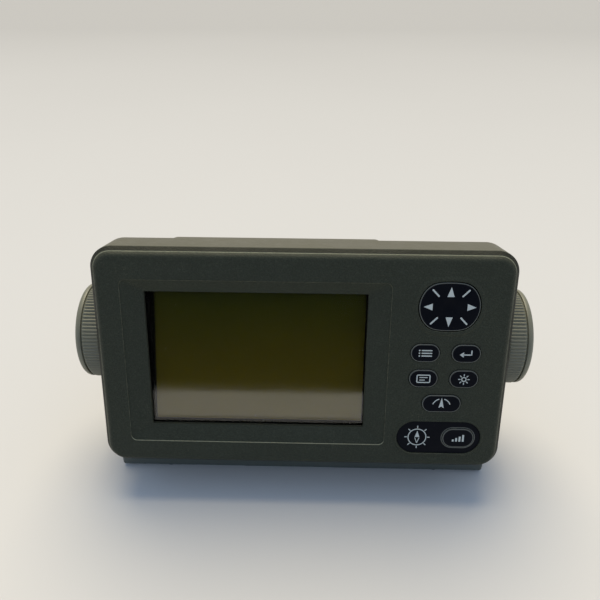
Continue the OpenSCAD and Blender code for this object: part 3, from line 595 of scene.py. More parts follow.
class Groups:
    """The effects that several finishes share, each a node group that is built once."""

    def __init__(self) -> None:
        """Builds every group."""
        self.grain = self._grain()
        self.mottle = self._mottle()
        self.wear = self._wear()
        self.scratches = self._scratches()
        self.dust = self._dust()

    @staticmethod
    def _start(name: str, inputs: Sequence[Tuple[str, str, float]],
               outputs: Sequence[Tuple[str, str]]
               ) -> Tuple[bpy.types.NodeTree, Graph, bpy.types.Node, bpy.types.Node]:
        """Makes an empty group.

        Args:
            name: the group's name.
            inputs: name, socket type and default of each input.
            outputs: name and socket type of each output.

        Returns:
            The tree, its graph, its input node and its output node.
        """
        tree = bpy.data.node_groups.new(name, "ShaderNodeTree")
        for label, kind, default in inputs:
            socket = tree.interface.new_socket(label, in_out="INPUT", socket_type="NodeSocket" + kind)
            if kind == "Float":
                socket.default_value = default
        for label, kind in outputs:
            tree.interface.new_socket(label, in_out="OUTPUT", socket_type="NodeSocket" + kind)
        return tree, Graph(tree), tree.nodes.new("NodeGroupInput"), tree.nodes.new("NodeGroupOutput")

    def _grain(self) -> bpy.types.NodeTree:
        """Fine moulded grain: rounded cells with a finer noise on them, as a height.

        Returns:
            The group.
        """
        tree, graph, given, made = self._start(
            "Moulded grain", [("Vector", "Vector", 0.0), ("Scale", "Float", 1500.0)], [("Height", "Float")])
        cells = graph.add("TexVoronoi", {"Vector": given.outputs["Vector"], "Scale": given.outputs["Scale"],
                                         "Smoothness": 0.6}, feature="SMOOTH_F1")
        fine = graph.noise(given.outputs["Vector"], given.outputs["Scale"], 2.0, 0.6)
        height = graph.math("MULTIPLY_ADD", fine, 0.6, cells.outputs["Distance"])
        tree.links.new(height, made.inputs["Height"])
        return tree

    def _mottle(self) -> bpy.types.NodeTree:
        """Slow change of shade over a surface: two noises of different size, about one.

        Returns:
            The group.
        """
        tree, graph, given, made = self._start(
            "Mottle", [("Vector", "Vector", 0.0), ("Scale", "Float", 40.0), ("Amount", "Float", 0.1)],
            [("Shade", "Float"), ("Mask", "Float")])
        slow = graph.noise(given.outputs["Vector"], given.outputs["Scale"], 4.0, 0.6, 0.4)
        quick_scale = graph.math("MULTIPLY", given.outputs["Scale"], 9.0)
        quick = graph.noise(given.outputs["Vector"], quick_scale, 3.0, 0.6)
        both = graph.math("ADD", graph.math("MULTIPLY", slow, 0.65), graph.math("MULTIPLY", quick, 0.35))
        centred = graph.math("SUBTRACT", both, 0.5)
        shade = graph.math("MULTIPLY_ADD", centred, graph.math("MULTIPLY", given.outputs["Amount"], 4.0), 1.0)
        tree.links.new(shade, made.inputs["Shade"])
        tree.links.new(graph.spread(both, 0.4, 0.62), made.inputs["Mask"])
        return tree

    def _wear(self) -> bpy.types.NodeTree:
        """Wear along exposed edges, more on what faces up as a painted highlight of the light from above: the
        exposure broken up by noise.

        Returns:
            The group.
        """
        tree, graph, given, made = self._start(
            "Edge wear and highlight", [("Vector", "Vector", 0.0), ("Normal", "Vector", 0.0), ("Edge", "Float", 0.0),
                          ("Amount", "Float", 0.5)], [("Mask", "Float")])
        broken = graph.noise(given.outputs["Vector"], 420.0, 5.0, 0.7)
        up = graph.add("SeparateXYZ", {"Vector": given.outputs["Normal"]}).outputs["Z"]
        # painted highlight: edges that face up get more of the light worn colour
        up_lit_amount = graph.math("MULTIPLY", given.outputs["Amount"], graph.spread(up, 0.1, 0.8, 0.55, 1.0))
        reach = graph.math("MULTIPLY", given.outputs["Edge"], up_lit_amount)
        total = graph.math("MULTIPLY_ADD", graph.math("SUBTRACT", broken, 0.5), 0.5, reach)
        tree.links.new(graph.spread(total, 0.3, 0.8), made.inputs["Mask"])
        return tree

    def _scratches(self) -> bpy.types.NodeTree:
        """A few hairline scratches: thin lines where two stretched noises cross their middle value.

        Returns:
            The group.
        """
        tree, graph, given, made = self._start(
            "Hair scratches", [("Vector", "Vector", 0.0), ("Amount", "Float", 0.5)], [("Mask", "Float")])
        lines = []
        for turn, stretch in ((0.7, (60.0, 60.0, 900.0)), (-0.9, (900.0, 60.0, 60.0))):
            mapped = graph.add("Mapping", {"Vector": given.outputs["Vector"], "Rotation": (turn, 0.3, turn),
                                           "Scale": stretch})
            value = graph.noise(mapped.outputs["Vector"], 1.0, 1.0, 0.4)
            off = graph.math("ABSOLUTE", graph.math("SUBTRACT", value, 0.5))
            lines.append(graph.spread(off, 0.004, 0.0))
        patch = graph.spread(graph.noise(given.outputs["Vector"], 55.0, 2.0), 0.56, 0.7)
        both = graph.math("MAXIMUM", lines[0], lines[1])
        masked = graph.math("MULTIPLY", graph.math("MULTIPLY", both, patch), given.outputs["Amount"])
        tree.links.new(masked, made.inputs["Mask"])
        return tree

    def _dust(self) -> bpy.types.NodeTree:
        """Thin dust with a few specks on what faces up.

        Returns:
            The group.
        """
        tree, graph, given, made = self._start(
            "Dust", [("Vector", "Vector", 0.0), ("Normal", "Vector", 0.0), ("Amount", "Float", 0.3)],
            [("Mask", "Float")])
        up = graph.add("SeparateXYZ", {"Vector": given.outputs["Normal"]}).outputs["Z"]
        facing = graph.spread(up, -0.1, 1.0, 0.25, 1.0)
        film = graph.spread(graph.noise(given.outputs["Vector"], 90.0, 5.0, 0.7), 0.45, 0.8)
        speck_noise = graph.noise(given.outputs["Vector"], 700.0, 2.0, 0.5)
        specks = graph.spread(speck_noise, 0.69, 0.76)
        total = graph.math("MAXIMUM", graph.math("MULTIPLY", film, 0.45), specks)
        masked = graph.math("MULTIPLY", graph.math("MULTIPLY", total, facing), given.outputs["Amount"])
        tree.links.new(masked, made.inputs["Mask"])
        return tree


@dataclass(frozen=True)
class Finish:
    """A moulded, painted or rubbery surface, how it has aged, and the painted highlight and shade on its
    edges.
    """

    name: str
    color: Color
    worn: Color
    roughness: float
    grain_scale: float = 1500.0
    grain_height: float = 0.02
    mottle: float = 0.05
    wear: float = 0.4
    scratch: float = 0.4
    dust: float = 0.12
    dust_color: Color = (0.42, 0.41, 0.37)
    specular: float = 0.5
    grain_shade: float = 0.0
    grain_middle: float = 0.65

    def build(self, groups: Groups) -> bpy.types.Material:
        """Mixes colour, wear, scratches and dust, and gives roughness and bump from the same masks.

        A positive exposure wears the colour, partly as a painted highlight where edges face up. A negative
        one darkens it as painted shade.

        Args:
            groups: the shared effects.

        Returns:
            The material.
        """
        material, graph, shader = start_material(self.name)
        place = graph.add("TexCoord")
        where = place.outputs["Object"]
        edge = graph.add("Attribute", attribute_name=EDGE_LAYER).outputs["Fac"]

        def group(tree: bpy.types.NodeTree, **values: object) -> bpy.types.Node:
            """Places one shared effect with its inputs."""
            return graph.add("Group", {"Vector": where, **values}, node_tree=tree)

        mottle = group(groups.mottle, Scale=38.0, Amount=self.mottle)
        normal = place.outputs["Normal"]
        wear = group(groups.wear, Normal=normal, Edge=edge, Amount=self.wear).outputs["Mask"]
        scratch = group(groups.scratches, Amount=self.scratch).outputs["Mask"]
        dust = group(groups.dust, Normal=normal, Amount=self.dust).outputs["Mask"]
        grain = group(groups.grain, Scale=self.grain_scale).outputs["Height"]
        pores = graph.math("SUBTRACT", grain, self.grain_middle)
        pores = graph.math("MULTIPLY_ADD", pores, self.grain_shade, 1.0)
        # painted shade: a negative exposure darkens the colour
        painted_shade = graph.math("ADD", graph.math("MINIMUM", edge, 0.0), 1.0)
        shade = graph.math("MULTIPLY", graph.math("MULTIPLY", mottle.outputs["Shade"], pores), painted_shade)
        grey = graph.add("CombineXYZ", {0: shade, 1: shade, 2: shade}).outputs[0]
        shaded = graph.mix(1.0, self.color, grey, "MULTIPLY")
        worn = graph.mix(wear, shaded, self.worn)
        scratched = graph.mix(graph.math("MULTIPLY", scratch, 0.7), worn, self.worn)
        dusty = graph.mix(dust, scratched, self.dust_color)
        graph.tree.links.new(dusty, shader.inputs["Base Color"])
        rough = graph.math("MULTIPLY_ADD", mottle.outputs["Mask"], 0.08, self.roughness - 0.04)
        rough = graph.math("MULTIPLY_ADD", wear, -0.12, rough)
        rough = graph.math("MULTIPLY_ADD", dust, 0.3, rough, clamp=True)
        graph.tree.links.new(rough, shader.inputs["Roughness"])
        height = graph.math("MULTIPLY_ADD", scratch, -0.8, grain)
        bump = graph.add("Bump", {"Height": height, "Strength": 1.0, "Distance": self.grain_height * MM})
        graph.tree.links.new(bump.outputs["Normal"], shader.inputs["Normal"])
        shader.inputs["Specular IOR Level"].default_value = self.specular
        return material


@dataclass(frozen=True)
class Metal:
    """A bare or plated metal surface, turned or brushed, with a little tarnish."""

    name: str
    color: Color
    tarnish: Color
    roughness: float
    brush_scale: float = 2600.0

    def build(self, groups: Groups) -> bpy.types.Material:
        """Mixes clean and tarnished metal and breaks its gloss with fine tool marks.

        Args:
            groups: the shared effects.

        Returns:
            The material.
        """
        material, graph, shader = start_material(self.name)
        where = graph.add("TexCoord").outputs["Object"]
        mottle = graph.add("Group", {"Vector": where, "Scale": 120.0, "Amount": 0.1},
                           node_tree=groups.mottle)
        scratch = graph.add("Group", {"Vector": where, "Amount": 0.6}, node_tree=groups.scratches)
        marks = graph.noise(where, self.brush_scale, 2.0, 0.7)
        amount = graph.math("MULTIPLY", mottle.outputs["Mask"], 0.35)
        graph.tree.links.new(graph.mix(amount, self.color, self.tarnish), shader.inputs["Base Color"])
        rough = graph.math("MULTIPLY_ADD", marks, 0.12, self.roughness - 0.06)
        rough = graph.math("MULTIPLY_ADD", scratch.outputs["Mask"], 0.2, rough, clamp=True)
        graph.tree.links.new(rough, shader.inputs["Roughness"])
        bump = graph.add("Bump", {"Height": marks, "Strength": 0.5, "Distance": 0.004 * MM})
        graph.tree.links.new(bump.outputs["Normal"], shader.inputs["Normal"])
        shader.inputs["Metallic"].default_value = 1.0
        return material


def clear_window_material() -> bpy.types.Material:
    """Clear moulded window: glass that is a little uneven, with faint wipe marks in its gloss.

    Returns:
        The material.
    """
    material, graph, shader = start_material("clear_window")
    where = graph.add("TexCoord").outputs["Object"]
    wipe = graph.noise(where, 35.0, 4.0, 0.6, 1.5)
    specks = graph.spread(graph.noise(where, 900.0, 1.0, 0.5), 0.81, 0.84)
    rough = graph.spread(wipe, 0.35, 0.8, 0.05, 0.075)
    graph.tree.links.new(graph.math("MULTIPLY_ADD", specks, 0.5, rough), shader.inputs["Roughness"])
    tint = graph.mix(specks, (0.97, 0.98, 0.97), (0.75, 0.75, 0.72))
    graph.tree.links.new(tint, shader.inputs["Base Color"])
    shader.inputs["Transmission Weight"].default_value = 1.0
    shader.inputs["IOR"].default_value = 1.49
    return material


@dataclass(frozen=True)
class ScreenGlassFinish:
    """The dark olive screen glass: a polariser over the cell, darker towards the top partly as painted shade,
    with a painted shadow of the window frame along its left edge.
    """

    left: float
    top: float
    bottom: float
    upper: Color = (0.066, 0.079, 0.012)
    lower: Color = (0.210, 0.168, 0.018)
    strip_top: float = 3.4
    strip_low: float = 0.4
    frame_shadow: Color = (0.0022, 0.0026, 0.0012)

    def build(self) -> bpy.types.Material:
        """Blends two olives down the glass, darker at the top partly as painted shade, and paints the frame's
        shadow as a dark strip along its left side that widens upwards.

        Returns:
            The material.
        """
        material, graph, shader = start_material("screen_glass")
        where = graph.add("TexCoord").outputs["Object"]
        axes = graph.add("SeparateXYZ", {"Vector": where})
        height = graph.add("MapRange", {"Value": axes.outputs["Z"], "From Min": self.bottom * MM,
                                        "From Max": self.top * MM})
        # painted shadow of the window frame: a dark strip along the left side, widest at the top
        inside = graph.math("SUBTRACT", axes.outputs["X"], self.left * MM)
        strip = graph.math("MULTIPLY_ADD", height.outputs[0], (self.strip_top - self.strip_low) * MM,
                           self.strip_low * MM)
        share = graph.math("DIVIDE", inside, strip)
        lit = graph.spread(share, 0.55, 1.15)
        cloud = graph.noise(where, 18.0, 3.0, 0.5)
        # darker towards the top, partly the glass's own tone and partly painted shade
        upper_share = graph.math("MULTIPLY_ADD", graph.math("SUBTRACT", cloud, 0.5), 0.25,
                           height.outputs[0], clamp=True)
        olive = graph.mix(upper_share, self.lower, self.upper)
        graph.tree.links.new(graph.mix(lit, self.frame_shadow, olive), shader.inputs["Base Color"])
        shader.inputs["Roughness"].default_value = 0.08
        bump = graph.add("Bump", {"Height": graph.noise(where, 3500.0, 2.0), "Strength": 0.3,
                                  "Distance": 0.001 * MM})
        graph.tree.links.new(bump.outputs["Normal"], shader.inputs["Normal"])
        return material


def circuit_board_material(groups: Groups) -> bpy.types.Material:
    """Green solder mask with paler copper tracks under it and small tinned pads.

    Args:
        groups: the shared effects.

    Returns:
        The material.
    """
    material, graph, shader = start_material("circuit_board")
    where = graph.add("TexCoord").outputs["Object"]
    tracks = graph.add("TexBrick", {"Vector": where, "Scale": 260.0, "Mortar Size": 0.06}, offset=0.37)
    pads = graph.add("TexVoronoi", {"Vector": where, "Scale": 420.0}, feature="F1")
    pad_mask = graph.spread(pads.outputs["Distance"], 0.24, 0.2)
    mottle = graph.add("Group", {"Vector": where, "Scale": 60.0, "Amount": 0.1},
                       node_tree=groups.mottle)
    board = graph.mix(tracks.outputs["Fac"], (0.012, 0.09, 0.045), (0.03, 0.16, 0.07))
    board = graph.mix(graph.math("MULTIPLY", mottle.outputs["Mask"], 0.3), board, (0.02, 0.07, 0.04))
    graph.tree.links.new(graph.mix(pad_mask, board, (0.6, 0.58, 0.5)), shader.inputs["Base Color"])
    graph.tree.links.new(graph.math("MULTIPLY_ADD", pad_mask, -0.1, 0.35), shader.inputs["Roughness"])
    bump = graph.add("Bump", {"Height": tracks.outputs["Fac"], "Strength": 0.4, "Distance": 0.02 * MM})
    graph.tree.links.new(bump.outputs["Normal"], shader.inputs["Normal"])
    return material


@dataclass
class Finishes:
    """Every material of the unit, by the record's slot or by use."""

    groups: Groups
    made: Dict[str, bpy.types.Material] = field(default_factory=dict)

    def build(self) -> "Finishes":
        """Makes all materials.

        Returns:
            This collection.
        """
        plain = [
            # its light worn colour is also the painted highlight on the panel's ridge and the window frame's
            # edge
            Finish("panel_plastic", (0.029, 0.033, 0.0225), (0.25, 0.24, 0.155), 0.56, 1700.0, 0.16,
                   mottle=0.05, wear=0.6, dust=0.03, specular=0.15, grain_shade=0.75),
            Finish("case_paint", (0.071, 0.070, 0.046), (0.30, 0.30, 0.26), 0.5, 900.0, 0.05,
                   mottle=0.05, wear=0.4, dust=0.15),
            Finish("bracket_paint", (0.070, 0.080, 0.067), (0.22, 0.22, 0.20), 0.48, 900.0, 0.05,
                   mottle=0.06, wear=0.5, dust=0.15),
            Finish("knob_plastic", (0.152, 0.150, 0.106), (0.27, 0.27, 0.22), 0.42, 1500.0, 0.02,
                   mottle=0.06, wear=0.5, dust=0.12),
            Finish("key_plastic", (0.0035, 0.0045, 0.0075), (0.03, 0.03, 0.035), 0.45, 2600.0, 0.006,
                   mottle=0.08, wear=0.2, dust=0.02, specular=0.07),
            Finish("key_rim", (0.085, 0.090, 0.078), (0.2, 0.2, 0.18), 0.4, 2600.0, 0.006, dust=0.02),
            Finish("legend_print", (0.47, 0.50, 0.46), (0.2, 0.2, 0.2), 0.5, 2600.0, 0.004,
                   wear=0.1, dust=0.0),
            Finish("screen_frame", (0.004, 0.004, 0.004), (0.03, 0.03, 0.03), 0.6, 1800.0, 0.006, dust=0.0,
                   specular=0.1),
            Finish("diffuser", (0.7, 0.72, 0.7), (0.5, 0.5, 0.5), 0.6, dust=0.0),
            Finish("rubber", (0.012, 0.012, 0.013), (0.05, 0.05, 0.05), 0.65, 1300.0, 0.03,
                   specular=0.35),
            Finish("black_plastic", (0.014, 0.014, 0.015), (0.06, 0.06, 0.06), 0.4, 1800.0, 0.02),
            Finish("cable", (0.55, 0.53, 0.44), (0.4, 0.38, 0.3), 0.45, 800.0, 0.01),
        ]
        metals = [
            Metal("steel", (0.56, 0.56, 0.54), (0.33, 0.31, 0.28), 0.28),
            Metal("plated_metal", (0.62, 0.61, 0.57), (0.42, 0.40, 0.35), 0.25),
            Metal("brass", (0.71, 0.52, 0.22), (0.40, 0.27, 0.12), 0.3),
            Metal("aluminium", (0.67, 0.68, 0.68), (0.5, 0.5, 0.5), 0.38),
        ]
        for finish in [*plain, *metals]:
            self.made[finish.name] = finish.build(self.groups)
        self.made["clear_window"] = clear_window_material()
        self.made["circuit_board"] = circuit_board_material(self.groups)
        left = DisplayScreen.view_x - DisplayScreen.view_width / 2
        olive = ScreenGlassFinish(left, DisplayScreen.olive_top, DisplayScreen.olive_bottom)
        self.made["screen_glass"] = olive.build()
        return self

    def __getitem__(self, name: str) -> bpy.types.Material:
        """The material of that name."""
        return self.made[name]


@dataclass(frozen=True)
class Key:
    """One key: its outline and where it sits."""

    name: str
    x: float
    z: float
    width: float
    height: float

    def outline(self) -> Outline:
        """The key's round-ended outline."""
        return Outline(self.width, self.height, self.height / 2, self.x, self.z, per_corner=14)


@dataclass(frozen=True)
class PanelPlan:
    """The sizes that the panel shares with what is set into it."""

    width: float = 189.4
    height: float = 104.9
    corner: float = 8.2
    plate: float = 3.0
    flange: float = 4.7
    key_x: float = 66.0
    key_pitch: float = 18.8
    row_pitch: float = 12.8
    first_row: float = 7.0
    key_width: float = 13.3
    key_height: float = 8.8
    key_gap: float = 0.25
    pad_gap: float = 0.45
    legend_gap: float = 0.15
    legend_depth: float = 0.95
    frame_width: float = 122.7
    frame_height: float = 81.0
    frame_corner: float = 2.6
    frame_z: float = -0.8
    pad_radius: float = 13.75
    pad_height: float = 24.2
    pad_z: float = 29.4
    legend_width: float = 40.0
    legend_height: float = 16.9
    legend_z: float = -36.75
    heading_width: float = 18.2
    status_x: float = 75.4
    status_width: float = 14.9
    status_height: float = 9.8

    def panel(self) -> Outline:
        """The panel's outline."""
        return Outline(self.width, self.height, self.corner, per_corner=20)

    def frame(self) -> Outline:
        """The outer edge of the window's sloped frame."""
        return Outline(self.frame_width, self.frame_height, self.frame_corner,
                       DisplayScreen.centre_x, self.frame_z, per_corner=10)

    def opening(self, width: float, height: float, corner: float) -> Outline:
        """An outline centred on the window."""
        return Outline(width, height, corner, DisplayScreen.centre_x, 0.0, per_corner=10)

    def pad(self) -> FlatCircle:
        """The cursor pad's outline."""
        return FlatCircle(self.pad_radius, self.pad_height, self.key_x, self.pad_z, softness=2.5)

    def legend(self) -> Outline:
        """The oval legend plate's outline."""
        return Outline(self.legend_width, self.legend_height, self.legend_height / 2,
                       self.key_x, self.legend_z, per_corner=20)

    def keys(self) -> List[Key]:
        """The six keys, the status key last.

        Returns:
            The keys in the order that they are made.
        """
        left, right = self.key_x - self.key_pitch / 2, self.key_x + self.key_pitch / 2
        low = self.first_row - self.row_pitch
        return [
            Key("menu_key", left, self.first_row, self.key_width, self.key_height),
            Key("enter_key", right, self.first_row, self.key_width, self.key_height),
            Key("display_key", left, low, self.key_width, self.key_height),
            Key("dimmer_key", right, low, self.key_width, self.key_height),
            Key("heading_key", self.key_x, low - self.row_pitch, self.heading_width, self.key_height),
            Key("status_key", self.status_x, self.legend_z, self.status_width, self.status_height),
        ]


@dataclass(frozen=True)
class FrontPanel:
    """The dark front moulding: rounded edge, sloped flange, window frame and the holes for the keys."""

    plan: PanelPlan
    place: Place
    edge_radius: float = 2.6
    ridge_wear_and_highlight: float = 1.7
    slope_shade: float = -0.5
    skirt: float = 0.6
    skirt_end: float = 8.0
    inset: float = 2.4
    frame_round: float = 0.45
    frame_wear_and_highlight: float = 1.45
    frame_wall: float = 0.05
    pocket_end: float = 7.4
    collar_height: float = 0.5
    collar_round: float = 0.2
    pad_reach: float = 2.85
    legend_reach: float = 1.6
    key_round: float = 0.22

    def _outer(self) -> Profile:
        """Front edge, worn ridge with a painted highlight, flange slope darkened by painted shade, flange rim
        and the skirt behind it.

        Returns:
            The section round the panel's outline.
        """
        radius, flange = self.edge_radius, self.plan.flange
        section = Profile().arc((-radius, radius), radius, -90, -15, 0.2, 9)
        # the ridge's exposure is edge wear and a painted highlight
        section.to(0.0, 1.98, self.ridge_wear_and_highlight).to(0.1, 2.05, self.ridge_wear_and_highlight).to(0.28, 2.18, 1.0)
        # painted shade darkens the flange slope
        for spread, depth in ((0.5, 2.38), (1.62, 3.76), (1.82, 4.0)):
            section.to(spread, depth, self.slope_shade)
        section.to(1.95, 4.25, 0.2).to(2.0, 4.45).to(2.0, 4.6).to(1.9, flange)
        section.to(-self.skirt, flange).to(-self.skirt, self.skirt_end)
        return section.to(-self.inset, self.skirt_end).to(-self.inset, self.plan.plate)

    def _window_stations(self) -> List[Station]:
        """The window frame from the face down its slope and lip, round the pocket and back to the plate.

        The frame's round is a quarter circle: one less the sine outwards, one less the cosine inwards.

        Returns:
            Outline, spread, depth and exposure of each ring.
        """
        plan, frame, soft = self.plan, self.plan.frame(), self.frame_round
        flange, pocket_end, wall_spread = plan.flange, self.pocket_end, self.frame_wall
        # the frame's round carries wear and a painted highlight, most at the middle of the arc
        stations = [(frame, soft * (1 - math.sin(a)), soft * (1 - math.cos(a)),
                     math.sin(2 * a) * self.frame_wear_and_highlight) for a in np.linspace(0, math.pi / 2, 5)]
        rim, opening = plan.opening(105.2, 70.0, 1.3), plan.opening(102.6, 67.4, 0.65)
        pocket, wall = plan.opening(106.2, 71.0, 0.3), plan.opening(110.0, 74.8, 1.0)
        stations += [
            (frame, -0.12, 0.55, 0.0), (frame, -0.4, 0.66, 0.0),
            (rim, 0.35, 2.62, 0.0), (rim, 0.1, 2.68, 0.5), (rim, -0.1, 2.74, 0.0),
            (opening, 0.35, 3.05, 0.0), (opening, 0.1, 3.16, 0.6), (opening, 0.0, 3.35, 0.0),
            (opening, 0.0, flange, 0.0), (pocket, 0.0, flange, 0.0), (pocket, 0.0, pocket_end, 0.0),
            (wall, 0.0, pocket_end, 0.0), (wall, 0.0, flange, 0.0),
            (frame, wall_spread, flange, 0.0), (frame, wall_spread, plan.plate, 0.0)]
        return stations

    def _collar(self, gap: float, reach: float, bottom: float) -> Profile:
        """A low rounded collar that runs down into a hole: a sine crest from its foot to its inner edge.

        Args:
            gap: spread of the hole's wall.
            reach: spread of the collar's foot.
            bottom: depth at which the hole's wall ends.

        Returns:
            The section round the hole.
        """
        soft, height = self.collar_round, self.collar_height
        share = np.linspace(0, 1, 12)
        spread = reach + (gap + soft - reach) * share
        rise = height * np.sin(math.pi * 0.5 * np.minimum(share * 1.6, 1.0)) ** 1.5
        section = Profile()
        for s, r, t in zip(spread.tolist(), rise.tolist(), share.tolist()):
            section.to(s, -r, 0.55 * math.sin(math.pi * t) ** 4)
        section.arc((gap + soft, soft - height), soft, -90, -180, 0.9, 4)
        return section.to(gap, bottom)

    def build(self, finishes: Finishes) -> bpy.types.Object:
        """Makes the moulding.

        Args:
            finishes: the materials.

        Returns:
            The moulding, riding on the display.
        """
        plan, soft = self.plan, self.key_round
        panel, frame, pad, legend = plan.panel(), plan.frame(), plan.pad(), plan.legend()
        keys = [key.outline() for key in plan.keys()]
        status = keys[-1]
        skin = Skin("panel_moulding", self.place)
        skin.band(panel, self._outer())
        skin.loft(self._window_stations())
        skin.band(pad, self._collar(plan.pad_gap, self.pad_reach, plan.plate))
        skin.band(legend, self._collar(plan.legend_gap, self.legend_reach, plan.legend_depth))
        key_reach = plan.key_gap + soft
        hole = Profile().arc((key_reach, soft), soft, -90, -180, 0.8, 4).to(plan.key_gap, plan.plate)
        for key in keys[:-1]:
            skin.band(key, hole)
        skin.band(status, Profile().to(plan.key_gap, plan.legend_depth).to(plan.key_gap, plan.plate))
        face = [panel.rings(-self.edge_radius)[0], frame.rings(self.frame_round)[0],
                pad.rings(self.pad_reach)[0], legend.rings(self.legend_reach)[0]]
        skin.flat([*face, *[key.rings(key_reach)[0] for key in keys[:-1]]], 0.0)
        skin.flat([legend.rings(plan.legend_gap)[0], status.rings(plan.key_gap)[0]], plan.legend_depth)
        back = [panel.rings(-self.inset)[0], frame.rings(self.frame_wall)[0],
                pad.rings(plan.pad_gap)[0]]
        skin.flat([*back, *[key.rings(plan.key_gap)[0] for key in keys]], plan.plate)
        piece = skin.piece([finishes["panel_plastic"]])
        return settle(piece, "display", "panel_plastic", "front_panel")


@dataclass(frozen=True)
class DisplayScreen:
    """The clear window and what shows behind it."""

    place: Place
    centre_x: float = -21.55
    view_width: float = 101.3
    view_height: float = 65.2
    view_x: float = -21.4
    olive_top: float = 101.5
    olive_bottom: float = 38.0
    pane_front: float = 5.0
    pane_back: float = 7.0
    bezel_front: float = 7.7
    bezel_lip: float = 8.3
    bezel_end: float = 17.5

    def _pane(self, finishes: Finishes) -> bpy.types.Object:
        """Makes the clear window with polished edges. It casts no shadow, so the screen stays lit.

        Args:
            finishes: the materials.

        Returns:
            The window, riding on the display.
        """
        window = Outline(105.8, 70.6, 0.8, self.centre_x, 0.0, per_corner=5)
        front, back, edge = self.pane_front, self.pane_back, 0.25
        section = Profile().to(-edge, front).to(-0.08, front + 0.04, 0.5).to(0.0, front + 0.2)
        section.to(0.0, back - 0.2).to(-0.2, back)
        skin = Skin("window_pane", self.place).band(window, section)
        skin.flat([window.rings(-edge)[0]], front).flat([window.rings(-0.2)[0]], back)
        piece = skin.piece([finishes["clear_window"]])
        settle(piece, "display", "clear_window", "display_window")
        piece.visible_shadow = False
        return piece

    def _bezel(self, finishes: Finishes) -> bpy.types.Object:
        """Makes the black screen frame: an open box whose front has the view cut out.

        Args:
            finishes: the materials.

        Returns:
            The frame, riding on the display.
        """
        outer = Outline(112.0, 84.0, 0.8, self.centre_x, 0.0, per_corner=4)
        view = Outline(self.view_width, self.view_height, 0.4, self.view_x, 0.0, per_corner=4)
        front, lip, end = self.bezel_front, self.bezel_lip, self.bezel_end
        edge, wall, ease = 0.5, 0.6, 0.25
        skin = Skin("screen_bezel", self.place)
        skin.loft([(view, 0.0, lip, 0.0), (view, 0.0, front + 0.15, 0.0),
                   (view, 0.08, front + 0.04, 0.6), (view, ease, front, 0.0)])
        skin.flat([outer.rings(-edge)[0], view.rings(ease)[0]], front)
        section = Profile().arc((-edge, front + edge), edge, -90, 0, 0.6, 4)
        skin.band(outer, section.to(0, end).to(-wall, end).to(-wall, lip))
        skin.flat([outer.rings(-wall)[0], view.rings(0.0)[0]], lip)
        return settle(skin.piece([finishes["screen_frame"]]), "display", "screen_frame", "lcd_frame")

    def build(self, finishes: Finishes) -> List[bpy.types.Object]:
        """The window and the screen frame."""
        return [self._pane(finishes), self._bezel(finishes)]


def settle(piece: bpy.types.Object, body: str, slot: str, *nodes: str) -> bpy.types.Object:
    """Lets a piece ride on a body and hides the solids that it stands for.

    Args:
        piece: the finished piece.
        body: the body it moves with.
        slot: the record's material slot; not used.
        nodes: the nodes that it replaces.

    Returns:
        The same piece.
    """
    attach(piece, body)
    if nodes:
        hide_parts(*nodes)
    LOG.info("%s: %d faces on %s", piece.name, len(piece.data.polygons), body)
    return piece


class Glyph:
    """Flat shapes for the generic pictograms, each a list of loops by (u, v)."""

    @staticmethod
    def bar(start: Tuple[float, float], stop: Tuple[float, float], width: float) -> Loops:
        """A straight stroke with round ends: half circles of half the width about both ends.

        Args:
            start: its first end.
            stop: its last end.
            width: its width.

        Returns:
            The stroke's loop.
        """
        first, last = np.array(start, float), np.array(stop, float)
        turn = math.atan2(last[1] - first[1], last[0] - first[0])
        half = np.linspace(-math.pi / 2, math.pi / 2, 7)
        ends = [(last, half + turn), (first, half + turn + math.pi)]
        return [np.concatenate([centre + width / 2 * np.column_stack([np.cos(a), np.sin(a)])
                                for centre, a in ends])]

    @staticmethod
    def ring(centre: Tuple[float, float], radius: float, width: float) -> Loops:
        """A circle line: cosine and sine at half the width outside and inside the radius.

        Args:
            centre: the circle's centre.
            radius: radius of the line's middle.
            width: width of the line.

        Returns:
            The outer and the inner loop.
        """
        angle = np.linspace(0, 2 * math.pi, 36, endpoint=False)
        unit = np.column_stack([np.cos(angle), np.sin(angle)])
        return [np.array(centre) + unit * reach for reach in (radius + width / 2, radius - width / 2)]

    @staticmethod
    def band(centre: Tuple[float, float], radius: float, width: float, start: float, stop: float
             ) -> Loops:
        """A part of a circle line.

        Args:
            centre: the circle's centre.
            radius: radius of the line's middle.
            width: width of the line.
            start: first angle in degrees.
            stop: last angle in degrees.

        Returns:
            The line's loop.
        """
        angle = np.radians(np.linspace(start, stop, 20))
        unit = np.column_stack([np.cos(angle), np.sin(angle)])
        return [np.concatenate([unit * (radius + width / 2), unit[::-1] * (radius - width / 2)])
                + np.array(centre)]

    @staticmethod
    def rays(inner: float, outer: float, width: float) -> List[Loops]:
        """Eight strokes along cosine and sine from the inner to the outer radius."""
        turns = [np.array([math.cos(a), math.sin(a)]) for a in np.linspace(0, 2 * math.pi, 8, endpoint=False)]
        return [Glyph.bar(turn * inner, turn * outer, width) for turn in turns]

    @staticmethod
    def dot(centre: Tuple[float, float], radius: float) -> Loops:
        """A round dot."""
        angle = np.linspace(0, 2 * math.pi, 20, endpoint=False)
        return [np.array(centre) + radius * np.column_stack([np.cos(angle), np.sin(angle)])]

    @staticmethod
    def points(*corners: Tuple[float, float]) -> Loops:
        """A shape with straight sides."""
        return [np.array(corners, float)]

    @staticmethod
    def frame(width: float, height: float, line: float) -> Loops:
        """A rectangle line with round corners."""
        outline = Outline(width, height, 0.5, per_corner=4)
        return [outline.rings(line / 2)[0], outline.rings(-line / 2)[0]]


